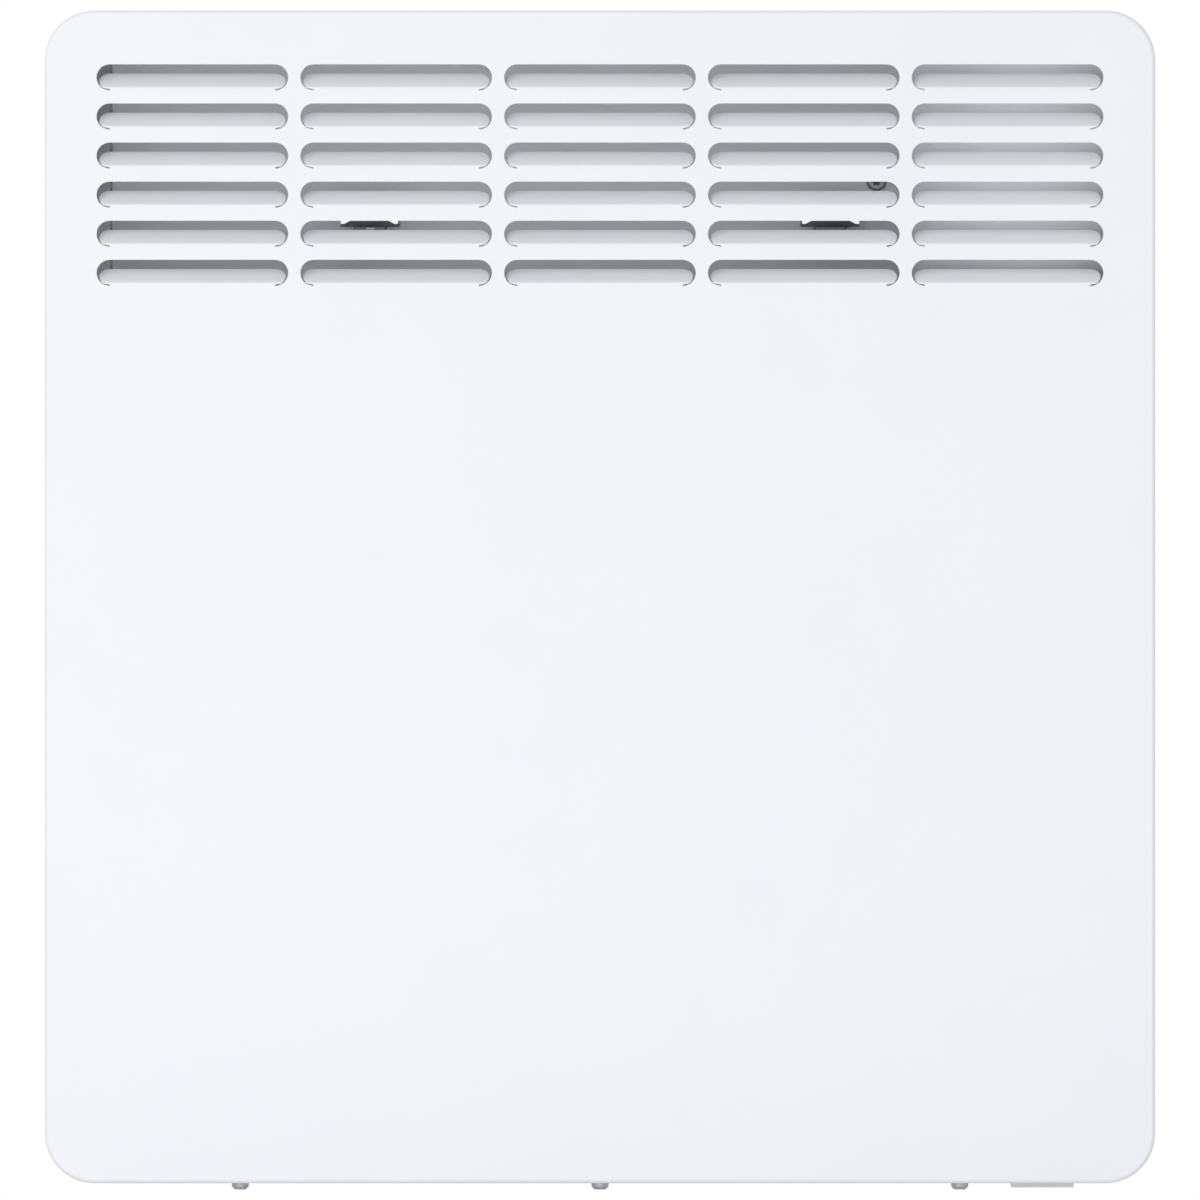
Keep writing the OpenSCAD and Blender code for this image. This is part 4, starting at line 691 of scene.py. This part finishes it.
def bottom_hole(shape, x):
    """Rim of a screw hole in the bottom flange."""
    turns = [2 * math.pi * k / HOLE_STEPS for k in range(HOLE_STEPS)]
    rim = [(x + SCREW_HOLE_R * math.cos(t), SCREW_Y + SCREW_HOLE_R * math.sin(t)) for t in turns]
    return [shape.verts.new((*place, -TOP_Z)) for place in rim]


def build_cover():
    """The front cover: one sheet with rolled edges, folded louvres, a top opening and a bottom flange."""
    shape = bmesh.new()
    rim = cover_rim()
    first = ring(shape, rim, CORNER_R - ROLL_R, FRONT_Y)
    holes = []
    for row in range(ROWS):
        for column in range(COLUMNS):
            floor_z = slot_floor_z(row)
            middle = column_x(column)
            fold = [shape.verts.new((middle + x, FRONT_Y, floor_z)) for x in fold_columns()]
            edge = [shape.verts.new((x, FRONT_Y, z)) for x, z in slot_rim(column, row)[:-1]]
            holes.append(fold + edge)
            lance_flap(shape, column, row, fold)
    fill(shape, first, holes, (0.0, -1.0, 0.0))
    rings = [first]
    for step in range(1, ROLL_STEPS + 1):
        turn = math.pi / 2 * step / ROLL_STEPS
        radius = CORNER_R - ROLL_R + ROLL_R * math.sin(turn)
        rings.append(ring(shape, rim, radius, FRONT_Y + ROLL_R * (1 - math.cos(turn))))
    for y in (FLANGE_BACK_Y, FASCIA_HOLE_Y[0], FASCIA_HOLE_Y[1], BACK_Y):
        rings.append(ring(shape, rim, CORNER_R, y))
    right = rim.index((FASCIA_HOLE_X[1], TOP_Z - CORNER_R, 0.0, 1.0))
    for level in range(len(rings) - 1):
        for i in range(len(rim)):
            j = (i + 1) % len(rim)
            over_flange = j == 0 and level >= ROLL_STEPS
            in_fascia = i == right and level == ROLL_STEPS + 2
            if not over_flange and not in_fascia:
                shape.faces.new((rings[level][i], rings[level + 1][i], rings[level + 1][j], rings[level][j]))
    near, far = rings[ROLL_STEPS], rings[ROLL_STEPS + 1]
    corners = [near[0], near[-1], far[-1], far[0]]
    screw_holes = [bottom_hole(shape, i * SCREW_PITCH) for i in (-1, 0, 1)]
    fill(shape, corners, screw_holes, (0.0, 0.0, -1.0))
    loose = [v for v in shape.verts if not v.link_faces]
    bmesh.ops.delete(shape, geom=loose, context="VERTS")
    cover = piece_from(shape, "louvred_cover", PAINT)
    sheet = cover.modifiers.new("sheet_thickness", "SOLIDIFY")
    sheet.thickness = SHEET * MM
    sheet.offset = -1
    sheet.use_even_offset = True
    ease_edges(cover, 0.18)
    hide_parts("front_cover")
    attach(cover, "heater")


def dress_sheets():
    dress("rear_panel", INNER_PAINT)
    dress("intake_grille", PAINT, edge=0.2)
    dress("left_air_guide", GUIDE_PAINT, edge=0.12)
    dress("control_partition", INNER_PAINT, edge=0.2)
    dress("front_heat_shield", SHIELD_ALUMINIUM, edge=0.15)
    dress("rating_plate", SHIELD_ALUMINIUM, edge=0.08)


def build_spring(name, side):
    """A latch's coil spring in place of its drawn node."""
    shape = bmesh.new()
    upward = Vector((0, 0, 1))
    steps = SPRING_STEPS * SPRING_TURNS
    loops = []
    for step in range(steps + 1):
        turn = 2 * math.pi * step / SPRING_STEPS
        out = Vector((side * math.cos(turn), math.sin(turn), 0))
        z = SPRING_SEAT_Z + SPRING_WIRE_R + (SPRING_H - 2 * SPRING_WIRE_R) * step / steps
        centre = Vector((side * ARM_X, SPRING_Y, z)) + SPRING_R * out
        loop = []
        for k in range(SPRING_SIDES):
            round_wire = 2 * math.pi * k / SPRING_SIDES
            way = out * math.cos(round_wire) + upward * math.sin(round_wire)
            loop.append(shape.verts.new(centre + SPRING_WIRE_R * way))
        loops.append(loop)
    for one, two in zip(loops, loops[1:]):
        for k in range(SPRING_SIDES):
            j = (k + 1) % SPRING_SIDES
            shape.faces.new((one[k], one[j], two[j], two[k]))
    shape.faces.new(loops[0])
    shape.faces.new(loops[-1][::-1])
    bmesh.ops.recalc_face_normals(shape, faces=shape.faces)
    spring = piece_from(shape, "coil_spring_" + name, SPRING_STEEL)
    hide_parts("latch_spring_" + name)
    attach(spring, "heater")
    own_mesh(spring)


def dress_bracket():
    dress("wall_bracket", BRACKET_WITH_DARK_ARMS, edge=0.3)
    dress("latch_pins", SPRING_STEEL, edge=0.2)
    dress("latch_left", LATCH_STEEL, edge=0.25)
    dress("latch_right", LATCH_STEEL, edge=0.25)
    build_spring("left", -1)
    build_spring("right", 1)


def dress_element():
    dress("element_fins", ELEMENT_ALUMINIUM, edge=0.2)
    dress("heater_rod", ROD_STEEL, edge=0.2)
    dress("end_bush_left", CERAMIC, edge=0.3)
    dress("end_bush_right", CERAMIC, edge=0.3)
    dress("element_bracket_left", GALVANISED, edge=0.2)
    dress("element_bracket_right", GALVANISED, edge=0.2)
    dress("cutout_bracket", GALVANISED, edge=0.2)
    dress("overheat_cutout", SPRING_STEEL, edge=0.2)


def turned(shape, profile, x, y):
    """A solid turned about an upright axis, from (radius, z) points that run from its foot to its top."""
    below = [shape.verts.new((x, y, profile[0][1]))] * TURN_STEPS
    for radius, z in profile[1:]:
        if radius:
            turns = [2 * math.pi * k / TURN_STEPS for k in range(TURN_STEPS)]
            above = [shape.verts.new((x + radius * math.cos(t), y + radius * math.sin(t), z)) for t in turns]
        else:
            above = [shape.verts.new((x, y, z))] * TURN_STEPS
        for k in range(TURN_STEPS):
            j = (k + 1) % TURN_STEPS
            corners = dict.fromkeys((below[k], below[j], above[j], above[k]))
            shape.faces.new(list(corners))
        below = above


def prism(shape, outline, reach):
    """A closed prism on an outline, drawn out along reach."""
    near = [shape.verts.new(point) for point in outline]
    far = [shape.verts.new(Vector(point) + Vector(reach)) for point in outline]
    faces = [shape.faces.new(near[::-1]), shape.faces.new(far)]
    for i in range(len(near)):
        j = (i + 1) % len(near)
        faces.append(shape.faces.new((near[i], near[j], far[j], far[i])))
    return faces


def hoop(shape, centre, across, along, reach):
    """A flat round ring about a centre, in the plane of two directions, drawn out along reach."""
    loops = []
    inner = MARK_HALF - MARK_LINE
    for radius, lift in ((MARK_HALF, 0), (MARK_HALF, 1), (inner, 1), (inner, 0)):
        loop = []
        for k in range(TURN_STEPS):
            turn = 2 * math.pi * k / TURN_STEPS
            side = across * math.cos(turn) + along * math.sin(turn)
            loop.append(shape.verts.new(centre + radius * side + lift * reach))
        loops.append(loop)
    faces = []
    for one, two in zip(loops, loops[1:] + loops[:1]):
        for k in range(TURN_STEPS):
            j = (k + 1) % TURN_STEPS
            faces.append(shape.faces.new((one[k], one[j], two[j], two[k])))
    return faces


def bar(shape, centre, across, along, half_w, half_l, reach):
    """A flat bar about a centre, in the plane of two directions, drawn out along reach."""
    corners = ((-1, -1), (1, -1), (1, 1), (-1, 1))
    return prism(shape, [centre + sx * half_w * across + sy * half_l * along for sx, sy in corners], reach)


def menu_mark(shape, centre, across, along, reach):
    """Three lines, one above the other."""
    faces = []
    for step in (-1, 0, 1):
        middle = centre + step * MENU_LINE_STEP * along
        faces += minus_mark(shape, middle, across, along, reach)
    return faces


def minus_mark(shape, centre, across, along, reach):
    """One line."""
    return bar(shape, centre, across, along, MARK_HALF, MARK_LINE / 2, reach)


def plus_mark(shape, centre, across, along, reach):
    """A cross, from one quarter of its outline."""
    a, b = MARK_HALF, MARK_LINE / 2
    quarter = ((a, -b), (a, b), (b, b))
    outline = []
    for turn in range(4):
        for x, y in quarter:
            for _ in range(turn):
                x, y = -y, x
            outline.append(centre + x * across + y * along)
    return prism(shape, outline, reach)


def ink(faces):
    """Gives faces the second finish of their piece."""
    for face in faces:
        face.material_index = 1


def button_profile(top_z):
    """Half section of a button: stem, hidden flange, cap with a round edge and a dished face."""
    flange_z = top_z - BUTTON_BODY
    flange_r = BUTTON_R + BUTTON_FLANGE_REACH
    rim_z = flange_z + BUTTON_FLANGE
    profile = [(0.0, flange_z - STEM_L), (STEM_R, flange_z - STEM_L), (STEM_R, flange_z)]
    profile += [(flange_r, flange_z), (flange_r, rim_z), (BUTTON_R, rim_z)]
    for step in range(BUTTON_EDGE_STEPS + 1):
        turn = math.pi / 2 * step / BUTTON_EDGE_STEPS
        edge = BUTTON_EDGE_R * (1 - math.cos(turn))
        profile.append((BUTTON_R - edge, top_z - BUTTON_EDGE_R * (1 - math.sin(turn))))
    dish_r = BUTTON_R - BUTTON_EDGE_R - BUTTON_RIM
    for step in range(DISH_STEPS + 1):
        share = 1 - step / DISH_STEPS
        profile.append((dish_r * share, top_z - BUTTON_DISH * (1 - share * share)))
    return profile


def build_button(node, mark):
    """One button in place of its drawn node, with its raised mark in the dish."""
    low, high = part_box(node)
    x, y = (low.x + high.x) / 2 / MM, (low.y + high.y) / 2 / MM
    top_z = high.z / MM
    shape = bmesh.new()
    turned(shape, button_profile(top_z), x, y)
    centre = Vector((x, y, top_z - BUTTON_DISH - MARK_LINE))
    reach = Vector((0, 0, BUTTON_DISH + MARK_LINE - MARK_BELOW_RIM))
    ink(mark(shape, centre, Vector((1, 0, 0)), Vector((0, 1, 0)), reach))
    bmesh.ops.recalc_face_normals(shape, faces=shape.faces)
    button = piece_from(shape, node + "_cap", GREY_PLASTIC, MARK_INK)
    ease_edges(button, 0.08)
    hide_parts(node)
    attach(button, node.replace("button", "key"))


def rocker_face_point(side, share):
    """A point (y, z) of the rocker's hollow face, from its valley (0) out to one end (1)."""
    length = ROCKER_HALF / math.cos(ROCKER_TILT)
    sag = ROCKER_SAG * (1 - (2 * share - 1) ** 2)
    along = share * length
    y = side * (along * math.cos(ROCKER_TILT) + sag * math.sin(ROCKER_TILT))
    z = -ROCKER_VALLEY - along * math.sin(ROCKER_TILT) + sag * math.cos(ROCKER_TILT)
    return y, z


def rocker_outline():
    """Side view of the rocker in (y, z): two hollow faces below, a tapered back above."""
    outline = [rocker_face_point(-1, 1 - step / ROCKER_STEPS) for step in range(ROCKER_STEPS)]
    outline += [rocker_face_point(1, step / ROCKER_STEPS) for step in range(ROCKER_STEPS + 1)]
    outline += [(ROCKER_HALF, -ROCKER_BACK), (ROCKER_BACK, ROCKER_BACK)]
    outline += [(-ROCKER_BACK, ROCKER_BACK), (-ROCKER_HALF, -ROCKER_BACK)]
    return outline


def build_rocker():
    """The rocker in place of its drawn node, with a line for on and a ring for off."""
    shape = bmesh.new()
    prism(shape, [(-ROCKER_W / 2, y, z) for y, z in rocker_outline()], (ROCKER_W, 0, 0))
    pin = [2 * math.pi * k / TURN_STEPS for k in range(TURN_STEPS)]
    pin = [(-ROCKER_PIN_REACH, ROCKER_PIN_R * math.cos(t), ROCKER_PIN_R * math.sin(t)) for t in pin]
    prism(shape, pin, (2 * ROCKER_PIN_REACH, 0, 0))
    across = Vector((1, 0, 0))
    for side in (-1, 1):
        out = Vector((0, side * math.cos(ROCKER_TILT), -math.sin(ROCKER_TILT)))
        down = Vector((0, -side * math.sin(ROCKER_TILT), -math.cos(ROCKER_TILT)))
        chord = Vector((0, 0, -ROCKER_VALLEY)) + out * ROCKER_HALF * ROCKER_MARK_SHARE
        base = chord - down * (ROCKER_SAG + MARK_LINE)
        reach = down * (ROCKER_SAG + MARK_LINE - MARK_BELOW_RIM)
        if side > 0:
            ink(bar(shape, base, across, out, MARK_LINE / 2, MARK_HALF, reach))
        else:
            ink(hoop(shape, base, across, out, reach))
    bmesh.ops.recalc_face_normals(shape, faces=shape.faces)
    tilt = Matrix.Rotation(-ROCKER_TILT, 4, "X")
    bmesh.ops.transform(shape, matrix=Matrix.Translation(ROCKER_PLACE) @ tilt, verts=shape.verts)
    rocker = piece_from(shape, "hollow_faced_rocker", SWITCH_PLASTIC, MARK_INK)
    ease_edges(rocker, 0.15)
    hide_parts("rocker")
    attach(rocker, "mains_rocker")


def dress_controls():
    dress("control_fascia", GREY_PLASTIC, edge=0.25)
    dress("display_lens", SMOKED_LENS, edge=0.15)
    dress("display_module", DISPLAY, edge=0.2)
    dress("display_board", BOARD, edge=0.1)
    dress("key_switches", BLACK_PLASTIC, edge=0.15)
    build_button("menu_button", menu_mark)
    build_button("minus_button", minus_mark)
    build_button("plus_button", plus_mark)
    build_button("ok_button", hoop)


def dress_mains_side():
    dress("power_board", BOARD, edge=0.1)
    dress("board_posts", GREY_PLASTIC, edge=0.15)
    dress("power_relay", BLACK_PLASTIC, edge=0.3)
    dress("supply_transformer", COIL_TAPE, edge=0.3)
    dress("smoothing_capacitor", SLEEVE, edge=0.4)
    dress("terminal_block", BLACK_PLASTIC, edge=0.25)
    dress("switch_frame", SWITCH_PLASTIC, edge=0.3)
    dress("cord_gland", BLACK_PLASTIC, edge=0.3)
    dress("sensor_holder", GREY_PLASTIC, edge=0.2)
    dress("room_sensor", BLACK_PLASTIC, edge=0.3)


def dress_fasteners_and_wires():
    dress("cover_screws", SCREW_ZINC, edge=0.12)
    dress("guide_screws", INNER_SCREW_ZINC, edge=0.12)
    dress("partition_screws", INNER_SCREW_ZINC, edge=0.12)
    dress("element_screws", SCREW_ZINC)
    dress("board_screws", SCREW_ZINC)
    dress("earth_screw", BRASS)
    dress("element_wires", INSULATION)
    dress("mains_wires", INSULATION)
    dress("sensor_lead", SENSOR_SLEEVE)
    dress("display_ribbon", INSULATION)


# Stage, light and camera


def pale_floor():
    """A round pale floor well below the heater, which fades out at its edge and is clear from below."""
    shape = bmesh.new()
    bmesh.ops.create_circle(shape, cap_ends=True, segments=FLOOR_SIDES, radius=FLOOR_R)
    bmesh.ops.translate(shape, vec=(0, 0, FLOOR_Z), verts=shape.verts)
    material = bpy.data.materials.new("pale_floor")
    material.use_nodes = True
    tree = material.node_tree
    skin = tree.nodes["Principled BSDF"]
    skin.inputs["Roughness"].default_value = 0.8
    place = object_place(tree)
    shade = noise(tree, place, 3, detail=2)
    pale = mixed_colour(tree, shade, tone(240, 240, 241), tone(246, 246, 247))
    tree.links.new(pale, skin.inputs["Base Color"])
    distance = tree.nodes.new("ShaderNodeVectorMath")
    distance.operation = "LENGTH"
    tree.links.new(place, distance.inputs[0])
    edge = stretched(tree, distance.outputs["Value"], FLOOR_FADE[0] * MM, FLOOR_FADE[1] * MM)
    under = tree.nodes.new("ShaderNodeNewGeometry").outputs["Backfacing"]
    fade = worked(tree, "MAXIMUM", edge, under)
    clear = tree.nodes.new("ShaderNodeBsdfTransparent")
    both = tree.nodes.new("ShaderNodeMixShader")
    tree.links.new(fade, both.inputs[0])
    tree.links.new(skin.outputs[0], both.inputs[1])
    tree.links.new(clear.outputs[0], both.inputs[2])
    tree.links.new(both.outputs[0], tree.nodes["Material Output"].inputs["Surface"])
    piece_from(shape, "floor", material)


def area_light(name, place, aim, size, power, colour=(1.0, 1.0, 1.0)):
    """A lamp as wide and high as its size says, turned from its place towards a point, in metres."""
    lamp = bpy.data.lights.new(name, "AREA")
    lamp.shape = "ELLIPSE"
    lamp.size, lamp.size_y = size
    lamp.energy = power
    lamp.color = colour
    holder = bpy.data.objects.new(name, lamp)
    holder.location = place
    way = Vector(aim) - Vector(place)
    holder.rotation_euler = way.to_track_quat("-Z", "Y").to_euler()
    holder.visible_camera = False
    bpy.context.scene.collection.objects.link(holder)


def inner_light(name, place, size, power):
    """A small lamp inside the casing, turned straight back. It lights only what the louvres show."""
    area_light(name, place, (place[0], 0.0, place[2]), size, power)


def studio():
    """White surroundings for the eye and for reflections, a gentler white for the light on the part."""
    world = bpy.data.worlds.new("studio")
    bpy.context.scene.world = world
    world.use_nodes = True
    tree = world.node_tree
    seen = tree.nodes["Background"]
    seen.inputs["Color"].default_value = (1.0, 1.0, 1.0, 1.0)
    seen.inputs["Strength"].default_value = 1.0
    lit = tree.nodes.new("ShaderNodeBackground")
    lit.inputs["Color"].default_value = (0.985, 0.99, 1.0, 1.0)
    lit.inputs["Strength"].default_value = 0.56
    ray = tree.nodes.new("ShaderNodeLightPath")
    direct = worked(tree, "MAXIMUM", ray.outputs["Is Camera Ray"], ray.outputs["Is Glossy Ray"])
    clear = worked(tree, "MAXIMUM", direct, ray.outputs["Is Transmission Ray"])
    both = tree.nodes.new("ShaderNodeMixShader")
    tree.links.new(clear, both.inputs[0])
    tree.links.new(lit.outputs[0], both.inputs[1])
    tree.links.new(seen.outputs[0], both.inputs[2])
    tree.links.new(both.outputs[0], tree.nodes["World Output"].inputs["Surface"])
    middle = (0.0, -0.05, 0.0)
    softbox = (1.6, 1.6)
    warm = (1.0, 0.995, 0.985)
    cool = (0.985, 0.99, 1.0)
    area_light("key_light", (-1.6, -2.2, 1.3), middle, size=softbox, power=14.5, colour=warm)
    area_light("low_light", (-0.35, -2.6, -0.35), middle, size=softbox, power=18.5, colour=cool)
    inner_light("first_column_light", (-0.2, -0.09, 0.085), size=(0.012, 0.27), power=0.0054)
    inner_light("louvre_light", (-0.05, -0.088, 0.098), size=(0.32, 0.14), power=0.0131)
    inner_light("last_column_light", (0.166, -0.088, 0.16), size=(0.05, 0.12), power=0.0013)


def camera():
    """A long lens at the front, level with the louvres and aimed at the middle, as in the photograph."""
    eye = bpy.data.cameras.new("front_camera")
    eye.lens = LENS
    eye.sensor_width = SENSOR
    eye.clip_start = 0.1
    eye.clip_end = 1000
    distance = PHOTO_PIXELS * MM_PER_PIXEL * LENS / SENSOR
    place = Vector((0, FRONT_Y - distance, EYE_Z)) * MM
    aim = Vector((0, FRONT_Y, AIM_Z)) * MM
    holder = bpy.data.objects.new("front_camera", eye)
    holder.location = place
    holder.rotation_euler = (aim - place).to_track_quat("-Z", "Y").to_euler()
    bpy.context.scene.collection.objects.link(holder)
    bpy.context.scene.camera = holder


build_cover()
dress_sheets()
dress_bracket()
dress_element()
dress_controls()
dress_mains_side()
build_rocker()
dress_fasteners_and_wires()
pale_floor()
studio()
camera()
bpy.context.scene.view_settings.view_transform = "Standard"
